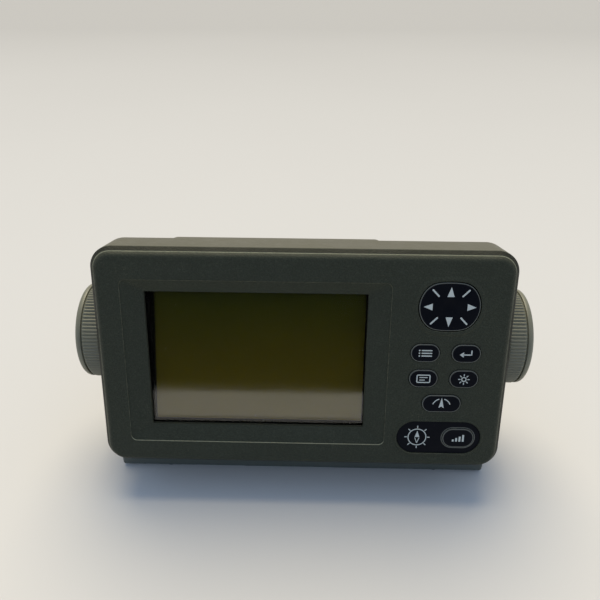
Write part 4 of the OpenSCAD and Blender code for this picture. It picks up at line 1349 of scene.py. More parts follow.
@dataclass(frozen=True)
class KeyField:
    """The cursor pad, the six keys with their pictograms and the oval legend plate."""

    plan: PanelPlan
    place: Place
    proud: float = 0.5
    rim: float = 0.45
    rim_round: float = 0.34
    stroke: float = 0.55
    fine_stroke: float = 0.42
    print_height: float = 0.05
    key_seat: float = 3.3
    key_flange: float = 1.1
    key_end: float = 4.5
    stem_radius: float = 2.0
    stem_end: float = 6.9
    pad_seat: float = 4.0
    pad_flange: float = 1.3
    pad_end: float = 4.8
    dish_reach: float = 4.6
    dish_depth: float = 0.4
    arrow_half: float = 1.6
    rose_offset: float = 10.2

    def _pictograms(self) -> Dict[str, List[Loops]]:
        """The pictogram of each key about the key's centre.

        Returns:
            Shapes by the key's name.
        """
        line, fine = self.stroke, self.fine_stroke
        menu = [shape for z in (1.35, 0.0, -1.35)
                for shape in (Glyph.bar((-1.5, z), (2.9, z), line), Glyph.dot((-2.7, z), 0.36))]
        enter = [Glyph.bar((2.4, 1.5), (2.4, -0.5), line), Glyph.bar((2.4, -0.5), (-1.4, -0.5), line),
                 Glyph.points((-1.1, 0.85), (-3.0, -0.5), (-1.1, -1.85))]
        display = [Glyph.frame(6.0, 3.7, 0.5), Glyph.bar((-1.7, 0.65), (1.7, 0.65), fine),
                   Glyph.bar((-1.7, -0.65), (0.5, -0.65), fine)]
        heading = [Glyph.band((0.0, -1.7), 4.3, 0.45, 20, 74), Glyph.band((0.0, -1.7), 4.3, 0.45, 106, 160),
                   Glyph.points((0.0, 3.3), (1.25, -2.2), (0.0, -1.3), (-1.25, -2.2))]
        status = [Glyph.points((x - 0.45, -1.8), (x + 0.45, -1.8), (x + 0.45, top), (x - 0.45, top))
                  for x, top in ((-2.4, -0.7), (-0.8, 0.1), (0.8, 0.9), (2.4, 1.8))]
        return {"menu_key": menu, "enter_key": enter, "display_key": display,
                "dimmer_key": [Glyph.ring((0, 0), 1.0, 0.45), *Glyph.rays(1.75, 2.5, fine)],
                "heading_key": heading, "status_key": status}

    def _cap(self, skin: Skin, outline: Union[Outline, FlatCircle], seat: float, flange: float,
             end: float) -> None:
        """The rim, wall and flange of a key or pad: a rounded grey rim, then straight down.

        Args:
            skin: the piece to add to.
            outline: the key's outline.
            seat: depth of the flange's front.
            flange: how far the flange stands out.
            end: depth of the flange's back.
        """
        top, soft = -self.proud, self.rim_round
        rim = Profile().to(-self.rim, top).to(-self.rim + 0.02, top)
        rim.arc((-soft, top + soft), soft, -90, 0, 0.6, 6).to(0.0, 0.1)
        skin.band(outline, rim, slot=1)
        wall = Profile().to(0.0, 0.1).to(0.0, seat).to(flange, seat).to(flange, end)
        skin.band(outline, wall)
        skin.flat([outline.rings(flange)[0]], end)

    def _print(self, skin: Skin, shapes: Sequence[Loops], x: float, z: float, top: float) -> None:
        """Lays thin printed shapes on a flat top.

        Args:
            skin: the piece to add to.
            shapes: the shapes about their own centre.
            x: where their centre lies.
            z: where their centre lies.
            top: depth of the flat top.
        """
        for loops in shapes:
            skin.prism([loop + np.array([x, z]) for loop in loops], top - self.print_height,
                       top + self.print_height, slot=2)

    @staticmethod
    def _materials(finishes: Finishes) -> List[bpy.types.Material]:
        """Body, rim and print."""
        return [finishes["key_plastic"], finishes["key_rim"], finishes["legend_print"]]

    def _key(self, key: Key, finishes: Finishes) -> bpy.types.Object:
        """Makes one key with its pictogram.

        Args:
            key: the key.
            finishes: the materials.

        Returns:
            The key, riding on its own body.
        """
        skin = Skin(key.name.replace("_key", "_button"), self.place)
        outline = key.outline()
        self._cap(skin, outline, self.key_seat, self.key_flange, self.key_end)
        skin.flat([outline.rings(-self.rim)[0]], -self.proud)
        stem, radius, edge = Outline(x=key.x, z=key.z, per_corner=6), self.stem_radius, 0.2
        root, end = self.key_end - 0.1, self.stem_end
        skin.band(stem, Profile().to(radius, root).to(radius, end - edge).to(radius - edge, end))
        skin.flat([stem.rings(radius - edge)[0]], end).flat([stem.rings(radius)[0]], root)
        self._print(skin, self._pictograms()[key.name], key.x, key.z, -self.proud)
        piece = skin.piece(self._materials(finishes))
        return settle(piece, key.name, "key_plastic", key.name)

    def _pad(self, finishes: Finishes) -> bpy.types.Object:
        """Makes the cursor pad: a shallow thumb dish, four arrows and four ticks.

        The dish is its depth times one less the squared share of its reach, to the power of 1.5.

        Args:
            finishes: the materials.

        Returns:
            The pad, riding on its own body.
        """
        plan = self.plan
        skin = Skin("cursor_button", self.place)
        outline = plan.pad()
        self._cap(skin, outline, self.pad_seat, self.pad_flange, self.pad_end)
        share = np.linspace(0, 1, 25)[:, None, None]
        centre = np.array([plan.key_x, outline.z])
        rings = centre + (outline.rings(-self.rim) - centre) * share
        far = np.hypot(rings[..., 0] - centre[0], rings[..., 1] - centre[1])
        hollow = self.dish_depth * np.clip(1 - (far / self.dish_reach) ** 2, 0, 1) ** 1.5
        drawn = np.stack([rings[..., 0], hollow - self.proud, rings[..., 1]], axis=-1)
        skin.grid(drawn, np.zeros(far.shape))
        half, (base_u, tip_u), (base_v, tip_v) = self.arrow_half, (7.8, 11.8), (4.8, 9.4)
        shapes = [Glyph.points((-half, base_v), (half, base_v), (0, tip_v)),
                  Glyph.points((half, -base_v), (-half, -base_v), (0, -tip_v)),
                  Glyph.points((-base_u, -half), (-base_u, half), (-tip_u, 0)),
                  Glyph.points((base_u, half), (base_u, -half), (tip_u, 0))]
        shapes += [Glyph.bar((su * 5.35, sv * 5.1), (su * 8.1, sv * 7.95), 0.75)
                   for su in (-1, 1) for sv in (-1, 1)]
        self._print(skin, shapes, plan.key_x, outline.z, -self.proud)
        piece = skin.piece(self._materials(finishes))
        return settle(piece, "cursor_pad", "key_plastic", "cursor_pad")

    def _plate(self, finishes: Finishes) -> bpy.types.Object:
        """Makes the oval plate with a generic compass rose.

        Args:
            finishes: the materials.

        Returns:
            The plate, riding on the display.
        """
        plan = self.plan
        skin = Skin("oval_plate", self.place)
        outline, status = plan.legend(), plan.keys()[-1].outline()
        top, bottom, soft = 0.0, 0.8, 0.2
        skin.band(outline, Profile().arc((-soft, top + soft), soft, -90, 0, 0.5, 4).to(0.0, bottom))
        gap, ring_width, ring_rise = plan.key_gap, 0.5, 0.06
        ring = Profile().to(gap + ring_width, top).to(gap + 0.42, top - ring_rise, 0.3)
        ring.to(gap + 0.15, top - ring_rise, 0.3).to(gap, top + 0.1).to(gap, bottom)
        skin.band(status, ring, slot=1)
        skin.flat([outline.rings(-soft)[0], status.rings(gap + ring_width)[0]], top)
        skin.flat([outline.rings(0.0)[0], status.rings(gap)[0]], bottom)
        rose = [Glyph.ring((0, 0), 4.3, 0.45), Glyph.points((0, 3.4), (1.15, 0), (-1.15, 0))]
        rose += Glyph.rays(5.0, 5.9, 0.45)
        rose += [Glyph.bar((-1.0, -0.45), (0, -3.2), 0.35), Glyph.bar((1.0, -0.45), (0, -3.2), 0.35)]
        self._print(skin, rose, plan.key_x - self.rose_offset, outline.z, top)
        piece = skin.piece(self._materials(finishes))
        return settle(piece, "display", "key_plastic", "legend_plate")

    def build(self, finishes: Finishes) -> List[bpy.types.Object]:
        """Makes the whole key field.

        Args:
            finishes: the materials.

        Returns:
            The new pieces.
        """
        pieces = [self._key(key, finishes) for key in self.plan.keys()]
        return [*pieces, self._pad(finishes), self._plate(finishes)]


def screw_seat(skin: Skin, head: Outline, face: float) -> None:
    """Adds a screw's seat: a broken edge, a straight wall and a flat floor.

    Args:
        skin: the piece to add to.
        head: the screw's middle.
        face: depth of the face round it.
    """
    floor = face - SEAT_DEPTH
    skin.band(head, Profile().to(SEAT_MOUTH, face).to(SEAT_BORE, face - 0.2, 0.6).to(SEAT_BORE, floor))
    skin.flat([head.rings(SEAT_BORE)[0]], floor)


@dataclass(frozen=True)
class RearHousing:
    """The pale case behind the panel, with a recess at each side for the bracket's arm."""

    place: Place
    case: Outline = Outline(193.4, 108.9, 10.2, per_corner=20)
    tub: Outline = Outline(177.0, 97.0, 5.0, per_corner=20)
    axis_depth: float = 36.2
    axis_rise: float = 3.0
    screw_x: float = 83.0
    screw_z: float = 44.5
    wall: float = 2.4
    rim_end: float = 9.3
    shoulder: float = 24.7
    shoulder_length: float = 9.7
    tub_start: float = 35.6
    back: float = 52.7
    back_round: float = 1.6
    recess_radius: float = 24.5
    recess_reach: float = 70.0
    recess_sides: Tuple[float, float] = (88.5, 110.0)
    boss_foot: float = 88.2
    boss_face: float = 92.5

    def _shell(self) -> Skin:
        """The closed shell from the inside of its rear wall, round the front rim, to the outside.

        The shoulder blends the case's outline into the tub's, in proportion to the way back.

        Returns:
            The shell.
        """
        wall, back, soft, rim_end = self.wall, self.back, self.back_round, self.rim_end
        case, tub, flange = self.case, self.tub, PanelPlan.flange
        stations = [(tub, -wall, back - wall, 0.0), (tub, -wall, rim_end, 0.0),
                    (case, -wall, rim_end, 0.0), (case, -wall, flange, 0.0),
                    (case, -0.35, flange, 0.0), (case, -0.1, 4.8, 0.6), (case, 0.0, 5.05, 0.0),
                    (case, 0.0, 23.6, 0.0), (case, -0.12, 24.5, 0.5), (case, -0.5, 25.2, 0.0)]
        step_u, step_v = (case.width - tub.width) / 2, (case.height - tub.height) / 2
        for s in np.linspace(0.12, 1.0, 5).tolist():
            mixed = Outline(case.width - 2 * step_u * s, case.height - 2 * step_v * s,
                            case.radius + (tub.radius - case.radius) * s, per_corner=20)
            stations.append((mixed, 0.0, self.shoulder + self.shoulder_length * s, 0.0))
        stations.append((tub, 0.0, self.tub_start, 0.0))
        skin = Skin("case_shell", self.place)
        skin.loft(stations)
        edge = Profile().to(0.0, self.tub_start).arc((-soft, back - soft), soft, 0, 90, 0.9, 7)
        skin.band(tub, edge)
        skin.flat([tub.rings(-wall)[0]], back - wall)
        heads = [Outline(x=sx * self.screw_x, z=sz * self.screw_z, per_corner=6) for sx, sz in CORNERS]
        skin.flat([tub.rings(-soft)[0], *[head.rings(SEAT_MOUTH)[0] for head in heads]], back)
        for head in heads:
            screw_seat(skin, head, back)
        return skin

    def _recess(self, side: int) -> Skin:
        """The space a bracket arm sweeps: a quarter circle about the axis, open downwards and backwards.

        Args:
            side: -1 left, 1 right.

        Returns:
            The solid to cut away.
        """
        radius, reach, (near, far) = self.recess_radius, self.recess_reach, self.recess_sides
        angle = np.linspace(math.pi, math.pi / 2, 28)
        arc = np.column_stack([self.axis_depth + radius * np.cos(angle),
                               self.axis_rise + radius * np.sin(angle)])
        corners = np.array([(reach, self.axis_rise + radius), (reach, -reach),
                            (self.axis_depth - radius, -reach)])
        skin = Skin("recess_%s" % side, self.place)
        return skin.prism([np.concatenate([arc, corners])], side * near, side * far, facing=Facing.SIDE)

    def _boss(self, side: int) -> Skin:
        """The round boss that carries the clamp stud.

        Args:
            side: -1 left, 1 right.

        Returns:
            The boss.
        """
        foot, face = self.boss_foot, self.boss_face
        hub = Outline(x=self.axis_depth, z=self.axis_rise, per_corner=16)
        skin = Skin("side_boss_%s" % side, self.place)
        section = Profile().to(16.3, foot).to(16.0, foot + 0.7).to(16.0, face - 0.3).to(15.7, face)
        skin.band(hub, section, facing=Facing.SIDE, mirror=side)
        skin.flat([hub.rings(16.3)[0]], side * foot, facing=Facing.SIDE)
        return skin.flat([hub.rings(15.7)[0]], side * face, facing=Facing.SIDE)

    def build(self, finishes: Finishes) -> bpy.types.Object:
        """Makes the case.

        Args:
            finishes: the materials.

        Returns:
            The case, riding on the display.
        """
        piece = self._shell().block()
        cuts = [(Carving.CUT, self._recess(side)) for side in (-1, 1)]
        joins = [(Carving.JOIN, self._boss(side)) for side in (-1, 1)]
        carve(piece, [*cuts, *joins], 0.5)
        dress(piece, [finishes["case_paint"]])
        return settle(piece, "display", "case_paint", "rear_housing")


@dataclass(frozen=True)
class RearCover:
    """The raised rear block with its cooling fins and screw seats."""

    place: Place
    outline: Outline = Outline(118.0, 83.0, 5.0, -16.0, 5.5, per_corner=12)
    start: float = 53.5
    end: float = 66.7
    edge_round: float = 1.8
    wall: float = 2.8
    lip: float = 7.0
    screw_reach: float = 54.8
    screw_rows: Tuple[float, float] = (-31.8, 35.0)
    fin_tip: float = 71.7
    fin_count: int = 16
    fin_pitch: float = 6.4
    fin_width: float = 2.0
    fin_height: float = 33.0
    fin_z: float = 22.5

    def _screws(self) -> List[Outline]:
        """The middles of the four cover screws."""
        return [Outline(x=self.outline.x + sx * self.screw_reach, z=z, per_corner=6)
                for sx in (-1, 1) for z in self.screw_rows]

    def _fin(self, skin: Skin, x: float) -> None:
        """Adds one cooling fin: a rounded foot, tapered sides and a rounded crest.

        Args:
            skin: the piece to add to.
            x: the fin's middle.
        """
        end, tip, foot, crest, soft = self.end, self.fin_tip, 0.3, -0.5, 0.38
        fin = Outline(self.fin_width, self.fin_height, 0.98, x, self.fin_z, per_corner=5)
        rise = Profile().to(foot, end - 0.4).to(foot, end).to(0.1, end + 0.12)
        rise.to(0.0, end + 0.5).to(-0.12, tip - 0.5).arc((crest, tip - soft), soft, 0, 90, 0.9, 4)
        skin.band(fin, rise)
        skin.flat([fin.rings(crest)[0]], tip).flat([fin.rings(foot)[0]], end - 0.4)

    def build(self, finishes: Finishes) -> bpy.types.Object:
        """Makes the cover.

        Args:
            finishes: the materials.

        Returns:
            The cover, riding on the display.
        """
        box, soft, lip, start, end = self.outline, self.edge_round, self.lip, self.start, self.end
        skin = Skin("finned_cover", self.place)
        section = Profile().to(-lip, end - self.wall).to(-lip, start).to(-0.3, start)
        section.to(0.0, start + 0.3, 0.4).arc((-soft, end - soft), soft, 0, 90, 0.9, 7)
        skin.band(box, section)
        skin.flat([box.rings(-lip)[0]], end - self.wall)
        heads = self._screws()
        for head in heads:
            screw_seat(skin, head, end)
        skin.flat([box.rings(-soft)[0], *[head.rings(SEAT_MOUTH)[0] for head in heads]], end)
        for index in range(self.fin_count):
            self._fin(skin, box.x + (index - (self.fin_count - 1) / 2) * self.fin_pitch)
        piece = skin.piece([finishes["case_paint"]])
        return settle(piece, "display", "case_paint", "rear_cover")


@dataclass(frozen=True)
class ClampKnob:
    """A knurled clamp knob: smooth flange, ribbed band, rounded rim and a flush cap."""

    side: int
    place: Place
    axis_depth: float = RearHousing.axis_depth
    axis_rise: float = RearHousing.axis_rise
    start: float = 97.1
    length: float = 14.2
    radius: float = 24.5
    rim_drop: float = 0.2
    rim_round: float = 2.2
    groove_depth: float = 1.1
    band_start: float = 2.3
    band_end: float = 10.7
    band_rise: float = 0.75
    ribs: int = 90
    rib_height: float = 0.6
    steps_per_rib: int = 8
    cap_steps: int = 96

    @property
    def label(self) -> str:
        """Left or right."""
        return "right" if self.side > 0 else "left"

    def _section(self) -> np.ndarray:
        """The knob's section. The ribbed band rises by a quarter sine, the rim is a quarter circle.

        Returns:
            Rows of distance out, radius, how much rib there is and exposure.
        """
        start, end = self.start, self.start + self.length
        first, last = start + self.band_start, start + self.band_end
        rim, soft, low = self.radius - self.rim_drop, self.rim_round, self.radius - self.band_rise
        groove, ease = rim - self.groove_depth, (0.0, 0.1, 0.3, 0.6, 1.0)
        rows = [(start + 0.6, 0.0, 0, 0), (start + 0.6, 21.0, 0, 0), (start, 21.6, 0, 0),
                (start, rim - 0.4, 0, 0.3), (start + 0.12, rim - 0.1, 0, 0.8), (start + 0.4, rim, 0, 0.2),
                (first - 0.8, rim, 0, 0), (first - 0.58, rim - 0.12, 0, 0.7),
                (first - 0.5, rim - 0.35, 0, 0.2), (first - 0.48, groove, 0, 0),
                (first - 0.05, groove, 0, 0)]
        ends = [(first + share, share) for share in ease]
        ends += [(last - share, share) for share in reversed(ease)]
        for out, share in ends:
            lift = math.sin(math.pi / 2 * share)
            rows.append((out, low + self.band_rise * lift, lift, 0.5 * lift))
        rows += [(last + 0.05, groove, 0, 0), (last + 0.48, groove, 0, 0), (last + 0.5, rim - 0.35, 0, 0.3),
                 (last + 0.6, rim - 0.1, 0, 0.8), (last + 0.85, rim, 0, 0.2)]
        rows += [(end - soft + soft * math.sin(a), rim - soft + soft * math.cos(a), 0, 0.8 * math.sin(2 * a))
                 for a in np.radians(np.linspace(0, 90, 9)).tolist()]
        rows += [(end, 13.6, 0, 0), (end - 0.08, 13.35, 0, 0.3), (end - 0.35, 13.25, 0, 0),
                 (end - 1.2, 13.2, 0, 0), (end - 1.2, 0.0, 0, 0)]
        return np.array(rows, float)

    def _cap_section(self) -> np.ndarray:
        """The cap's section: a disc with a broken edge and a shallow dish.

        Returns:
            Rows of distance out, radius, how much rib there is and exposure.
        """
        end = self.start + self.length
        return np.array([(end - 1.15, 0.0, 0, 0), (end - 1.15, 12.9, 0, 0), (end - 0.35, 13.0, 0, 0),
                         (end - 0.1, 12.9, 0, 0.7), (end, 12.6, 0, 0.2), (end, 11.4, 0, 0),
                         (end - 0.25, 10.9, 0, 0), (end - 0.25, 0.0, 0, 0)])

    def _surface(self, rows: np.ndarray, count: int) -> Tuple[np.ndarray, np.ndarray]:
        """Turns the section: the radius loses a rounded groove between ribs, a power of a sine.

        Args:
            rows: distance out, radius, rib share and exposure.
            count: points round the knob.

        Returns:
            The points and their exposure.
        """
        angle = np.linspace(0, 2 * math.pi, count, endpoint=False)[None, :]
        groove = np.abs(np.sin(angle * self.ribs / 2)) ** 1.6
        radius = rows[:, 1, None] - self.rib_height * rows[:, 2, None] * (1 - groove)
        out = np.broadcast_to(rows[:, 0, None] * self.side, radius.shape)
        drawn = np.stack([out, self.axis_depth + radius * np.cos(angle),
                          self.axis_rise + radius * np.sin(angle)], axis=-1)
        return drawn, rows[:, 3, None] * (0.35 + 0.65 * groove)

    def build(self, finishes: Finishes) -> List[bpy.types.Object]:
        """Makes the knob and its cap.

        Args:
            finishes: the materials.

        Returns:
            The new pieces.
        """
        body = self.label + "_knob"
        skin = Skin(self.label + "_knob_rim", self.place)
        skin.grid(*self._surface(self._section(), self.ribs * self.steps_per_rib))
        knob = settle(skin.piece([finishes["knob_plastic"]]), body, "knob_plastic", body)
        skin = Skin(self.label + "_cap_disc", self.place)
        skin.grid(*self._surface(self._cap_section(), self.cap_steps))
        cap = settle(skin.piece([finishes["knob_plastic"]]), body, "knob_plastic", body + "_cap")
        return [knob, cap]


@dataclass(frozen=True)
class Bracket:
    """The U-shaped bracket: a base plate with four fixing holes and two arms with round heads."""

    width: float = 193.6
    depth: float = 64.0
    corner: float = 2.0
    thickness: float = 4.0
    arm_thickness: float = 3.0
    arm_width: float = 36.0
    axis_height: float = 66.2
    hole_pitch: Tuple[float, float] = (120.0, 40.0)
    hole_radius: float = 2.6
    bush_radius: float = 5.56
    bend: float = 2.5
    foot_x: float = 71.0
    foot_y: float = 27.0
    foot_radius: float = 4.0
    foot_hollow: float = 1.2

    def _arm(self, side: int) -> Skin:
        """One arm: straight sides under a half circle about the tilt axis.

        Args:
            side: -1 left, 1 right.

        Returns:
            The arm.
        """
        half, outer = self.arm_width / 2, self.width / 2
        angle = np.linspace(0, math.pi, 40)
        head = np.column_stack([half * np.cos(angle), self.axis_height + half * np.sin(angle)])
        loop = np.concatenate([head, np.array([(-half, 0.0), (half, 0.0)])])
        skin = Skin("arm_%s" % side, Place())
        return skin.prism([loop], side * (outer - self.arm_thickness), side * outer, facing=Facing.SIDE)

    def _bend(self, side: int) -> Skin:
        """The rounded inner corner between base and arm: a square less a quarter circle.

        Args:
            side: -1 left, 1 right.

        Returns:
            The corner piece, sunk a little into base and arm.
        """
        corner, low, bend, sink = self.width / 2 - self.arm_thickness, self.thickness, self.bend, 0.4
        angle = np.linspace(0, -math.pi / 2, 10)
        arc = np.column_stack([corner - bend + bend * np.cos(angle), low + bend + bend * np.sin(angle)])
        extra = np.array([(corner - bend, low - sink), (corner + sink, low - sink),
                          (corner + sink, low + bend)])
        loop = np.concatenate([arc, extra]) * np.array([side, 1.0])
        skin = Skin("bend_%s" % side, Place())
        return skin.prism([loop], -self.arm_width / 2, self.arm_width / 2)

    def _hole(self, sx: int, sy: int) -> Skin:
        """The drill for one fixing hole of the base.

        Args:
            sx: -1 left, 1 right.
            sy: -1 or 1 along the base's depth.

        Returns:
            The solid to cut away.
        """
        hole = Outline(x=sx * self.hole_pitch[0] / 2, z=sy * self.hole_pitch[1] / 2, per_corner=8)
        drill = Skin("hole_%s_%s" % (sx, sy), Place())
        return drill.prism([hole.rings(self.hole_radius)[0]], -1.0, self.thickness + 1.0, facing=Facing.UP)

    def _bore(self, side: int) -> Skin:
        """The drill for the bush in one arm.

        Args:
            side: -1 left, 1 right.

        Returns:
            The solid to cut away.
        """
        bore, outer = Outline(x=0.0, z=self.axis_height, per_corner=10), self.width / 2
        drill = Skin("bore_%s" % side, Place())
        return drill.prism([bore.rings(self.bush_radius)[0]], side * (outer - self.arm_thickness - 1),
                           side * (outer + 1), facing=Facing.SIDE)

    def _feet(self, finishes: Finishes) -> bpy.types.Object:
        """Makes the four rubber feet: short rounded discs with a hollow underside.

        Args:
            finishes: the materials.

        Returns:
            The feet, riding on the bracket.
        """
        skin, radius, hollow, soft = Skin("feet", Place()), self.foot_radius, self.foot_hollow, 0.6
        for sx, sy in CORNERS:
            foot = Outline(x=sx * self.foot_x, z=sy * self.foot_y, per_corner=8)
            section = Profile().to(radius, 0.0).to(radius, -0.9)
            section.arc((radius - soft, -1.2), soft, 0, -90, 0.6, 5)
            section.to(2.2, -1.8).to(2.0, -1.5).to(hollow, -1.4)
            skin.band(foot, section, facing=Facing.UP)
            skin.flat([foot.rings(radius)[0]], 0.0, facing=Facing.UP)
            skin.flat([foot.rings(hollow)[0]], -1.4, facing=Facing.UP)
        return settle(skin.piece([finishes["rubber"]]), "bracket", "rubber", "rubber_feet")

    def build(self, finishes: Finishes) -> List[bpy.types.Object]:
        """Makes the bracket and its rubber feet.

        Args:
            finishes: the materials.

        Returns:
            The new pieces.
        """
        plate = Outline(self.width, self.depth, self.corner, per_corner=6)
        base = Skin("u_bracket", Place())
        base.prism([plate.rings(0.0)[0]], 0.0, self.thickness, facing=Facing.UP)
        piece = base.block()
        steps = [(Carving.JOIN, part(side)) for side in (-1, 1) for part in (self._arm, self._bend)]
        for side in (-1, 1):
            steps += [(Carving.CUT, self._hole(side, sy)) for sy in (-1, 1)]
            steps.append((Carving.CUT, self._bore(side)))
        carve(piece, steps, 0.6)
        dress(piece, [finishes["bracket_paint"]])
        settle(piece, "bracket", "bracket_paint", "mounting_bracket")
        return [piece, self._feet(finishes)]


@dataclass(frozen=True)
class RearFittings:
    """The three round connectors on the rear cover."""

    place: Place
    end: float = RearCover.end
    plug_z: float = -14.0
    plug_x: Tuple[float, float, float] = (-42.818, -16.0, 10.818)
    bore: float = 6.2
    sink: float = 7.0
    flange_radius: float = 10.5
    flange_height: float = 2.0
    barrel_radius: float = 8.0
    barrel_height: float = 13.0
    thread_turns: int = 6
    thread_pitch: float = 1.2
    thread_height: float = 0.42

    def _connector(self, name: str, x: float, finishes: Finishes) -> bpy.types.Object:
        """Makes one shell: a chamfered flange, a threaded barrel and an open bore.

        Args:
            name: the node that it replaces.
            x: where its middle lies.
            finishes: the materials.

        Returns:
            The shell, riding on the display.
        """
        centre, end = Outline(x=x, z=self.plug_z, per_corner=16), self.end
        flange, top, low = end + self.flange_height, end + self.barrel_height, end - self.sink
        bore, wide, root = self.bore, self.flange_radius, self.barrel_radius
        crest = root + self.thread_height
        section = Profile().to(bore, low).to(7.0, low).to(7.0, end).to(wide - 0.3, end)
        section.to(wide, end + 0.3, 0.4).to(wide, flange - 0.4).to(wide - 0.3, flange - 0.08, 0.8)
        section.to(9.8, flange).to(8.15, flange).to(root, flange + 0.15).to(root, flange + 2.6)
        for turn in range(self.thread_turns):
            base = flange + 2.75 + turn * self.thread_pitch
            section.to(root, base).to(crest, base + 0.4, 0.9).to(crest, base + 0.6, 0.9)
            section.to(root, base + 1.0)
        section.to(root, top - 0.5).to(7.8, top - 0.12, 0.9).to(7.5, top)
        section.to(6.5, top).to(6.25, top - 0.25, 0.5).to(bore, top - 0.8).to(bore, low)
        skin = Skin(name.replace("_connector", "_socket_shell"), self.place).band(centre, section)
        return settle(skin.piece([finishes["plated_metal"]]), "display", "plated_metal", name)

    def build(self, finishes: Finishes) -> List[bpy.types.Object]:
        """Makes the connectors.

        Args:
            finishes: the materials.

        Returns:
            The new pieces.
        """
        names = ("power_connector", "antenna_connector", "data_connector")
        return [self._connector(name, x, finishes) for name, x in zip(names, self.plug_x)]


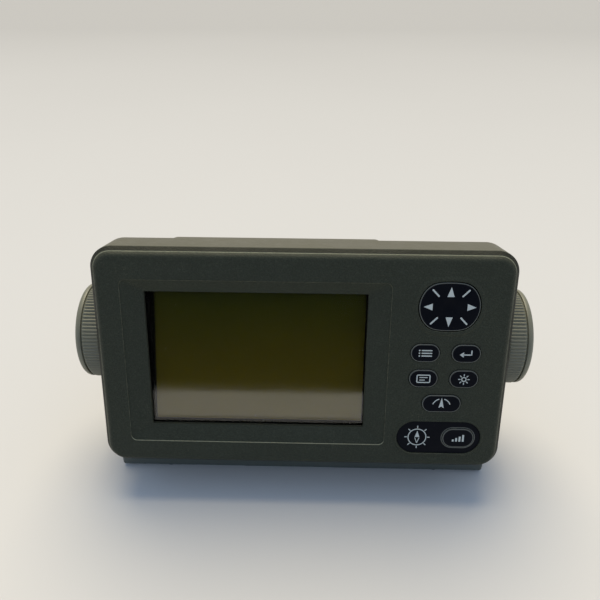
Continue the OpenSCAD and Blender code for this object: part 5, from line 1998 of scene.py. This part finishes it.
@dataclass(frozen=True)
class Studio:
    """Pale floor, a soft window light, a dark board that only reflections see, the sky and the camera."""

    location: Tuple[float, float, float] = (0.0031, -0.2470, 0.2410)
    rotation: Tuple[float, float, float] = (57.877, -0.201, 1.283)
    lens: float = 34.56
    floor_height: float = -0.0018
    floor_size: float = 14.0
    floor_color: Color = (0.605, 0.575, 0.53)
    far_shade: float = 0.72
    far_distance: float = 1.9
    board_size: Tuple[float, float] = (0.8, 0.24)
    board_place: Tuple[float, float, float] = (0, -0.32, 0.118)
    light_energy: float = 3.25
    light_color: Color = (1.0, 0.885, 0.64)
    light_spread: float = 45
    light_path: Tuple[float, float, float] = (0.05, -0.45, -0.89)
    sky_color: Color = (0.42, 0.55, 0.78)
    seen_color: Color = (0.61, 0.58, 0.53)

    def camera(self) -> bpy.types.Object:
        """Makes the camera at the photograph's place and angle.

        Returns:
            The camera.
        """
        data = bpy.data.cameras.new("camera")
        data.lens = self.lens
        data.sensor_width = 36.0
        data.clip_start = 0.01
        camera = add_object("camera", data)
        camera.location = self.location
        camera.rotation_euler = Euler([math.radians(angle) for angle in self.rotation])
        bpy.context.scene.camera = camera
        return camera

    def _card(self, name: str, size: Tuple[float, float], location: Tuple[float, float, float],
              rotation: Tuple[float, float, float]) -> bpy.types.Object:
        """Makes a flat studio sheet.

        Args:
            name: the sheet's name.
            size: width and height.
            location: the sheet's middle.
            rotation: its turn in degrees.

        Returns:
            The sheet, marked as part of the studio.
        """
        mesh = bpy.data.meshes.new(name)
        x, y = size[0] / 2, size[1] / 2
        mesh.from_pydata([(-x, -y, 0), (x, -y, 0), (x, y, 0), (-x, y, 0)], [], [(0, 1, 2, 3)])
        card = add_object(name, mesh)
        card.location = location
        card.rotation_euler = [math.radians(angle) for angle in rotation]
        return card

    def _floor(self) -> None:
        """Makes a wide pale floor with a very soft unevenness, and painted shade that makes it a little
        darker behind the unit.
        """
        material, graph, shader = start_material("floor_paper")
        where = graph.add("TexCoord").outputs["Object"]
        cloud = graph.noise(where, 1.5, 2.0, 0.5)
        away = graph.add("SeparateXYZ", {"Vector": where}).outputs["Y"]
        # painted shade: the floor darkens with distance behind the unit
        far = tuple(channel * self.far_shade for channel in self.floor_color)
        depth = graph.add("MapRange", {"Value": graph.math("MULTIPLY_ADD", cloud, 0.3, away),
                                       "From Min": 0.0, "From Max": self.far_distance}).outputs[0]
        graph.tree.links.new(graph.mix(depth, self.floor_color, far), shader.inputs["Base Color"])
        shader.inputs["Roughness"].default_value = 0.9
        shader.inputs["Specular IOR Level"].default_value = 0.1
        floor = self._card("floor", (self.floor_size, self.floor_size), (0, 0, self.floor_height), (0, 0, 0))
        floor.data.materials.append(material)

    def _dark_board(self) -> None:
        """Makes a dark board in front of the unit that only mirror-like surfaces see."""
        material, _, shader = start_material("dark_board")
        shader.inputs["Base Color"].default_value = (0.01, 0.01, 0.01, 1)
        shader.inputs["Specular IOR Level"].default_value = 0.0
        board = self._card("dark_board", self.board_size, self.board_place, (90, 0, 0))
        board.data.materials.append(material)
        board.visible_camera = False
        board.visible_shadow = False
        board.visible_diffuse = False

    def _window_light(self) -> None:
        """Makes the one lamp: a wide, warm light from the front and above."""
        data = bpy.data.lights.new("window_light", "SUN")
        data.energy = self.light_energy
        data.color = self.light_color
        data.angle = math.radians(self.light_spread)
        lamp = add_object("window_light", data)
        lamp.rotation_euler = Vector(self.light_path).to_track_quat("-Z", "Y").to_euler()

    def _world(self) -> None:
        """Makes the sky, which lights the unit, and the pale backdrop that camera, metal and glass see."""
        world = bpy.data.worlds.new("studio")
        world.use_nodes = True
        background = world.node_tree.nodes["Background"]
        graph = Graph(world.node_tree)
        path = graph.add("LightPath").outputs
        mirrored = graph.math("MAXIMUM", path["Is Glossy Ray"], path["Is Transmission Ray"])
        seen = graph.math("MAXIMUM", path["Is Camera Ray"], mirrored)
        graph.tree.links.new(graph.mix(seen, self.sky_color, self.seen_color), background.inputs["Color"])
        bpy.context.scene.world = world

    def build(self) -> None:
        """Makes the floor, the board, the light and the world, and keeps colours as they are written."""
        self._floor()
        self._dark_board()
        self._window_light()
        self._world()
        bpy.context.scene.view_settings.view_transform = "Standard"


def dress_solids(frame: dict, finishes: Finishes) -> None:
    """Gives every carried-over solid the finish that the record names.

    Args:
        frame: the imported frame.
        finishes: the materials.
    """
    slots = {part["node"]: part["material_slot"] for part in frame["record"]["subparts"]}
    for name, node in frame["nodes"].items():
        node.data.materials.clear()
        node.data.materials.append(finishes[slots.get(name, DEFAULT_SLOT)])
    LOG.info("solids dressed: %d", len(slots))


def main() -> None:
    """Loads the frame and builds every sub-assembly in order."""
    logging.basicConfig(level=logging.INFO, format="%(name)s: %(message)s")
    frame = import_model()
    tilt = next(joint for joint in frame["joints"] if joint["name"] == "display_tilt")
    press = next(joint for joint in frame["joints"] if joint["name"] == "menu_key_press")
    lean = math.atan2(-press["axis"][2], press["axis"][1])
    place = Place(tilt["pos_m"][2] / MM, RearHousing.axis_depth, RearHousing.axis_rise, lean)
    studio = Studio()
    studio.camera()
    finishes = Finishes(Groups()).build()
    dress_solids(frame, finishes)
    plan = PanelPlan()
    FrontPanel(plan, place).build(finishes)
    DisplayScreen(place).build(finishes)
    KeyField(plan, place).build(finishes)
    RearHousing(place).build(finishes)
    RearCover(place).build(finishes)
    RearFittings(place).build(finishes)
    for side in (-1, 1):
        ClampKnob(side, place).build(finishes)
    Bracket().build(finishes)
    studio.build()


if __name__ == "__main__":
    main()
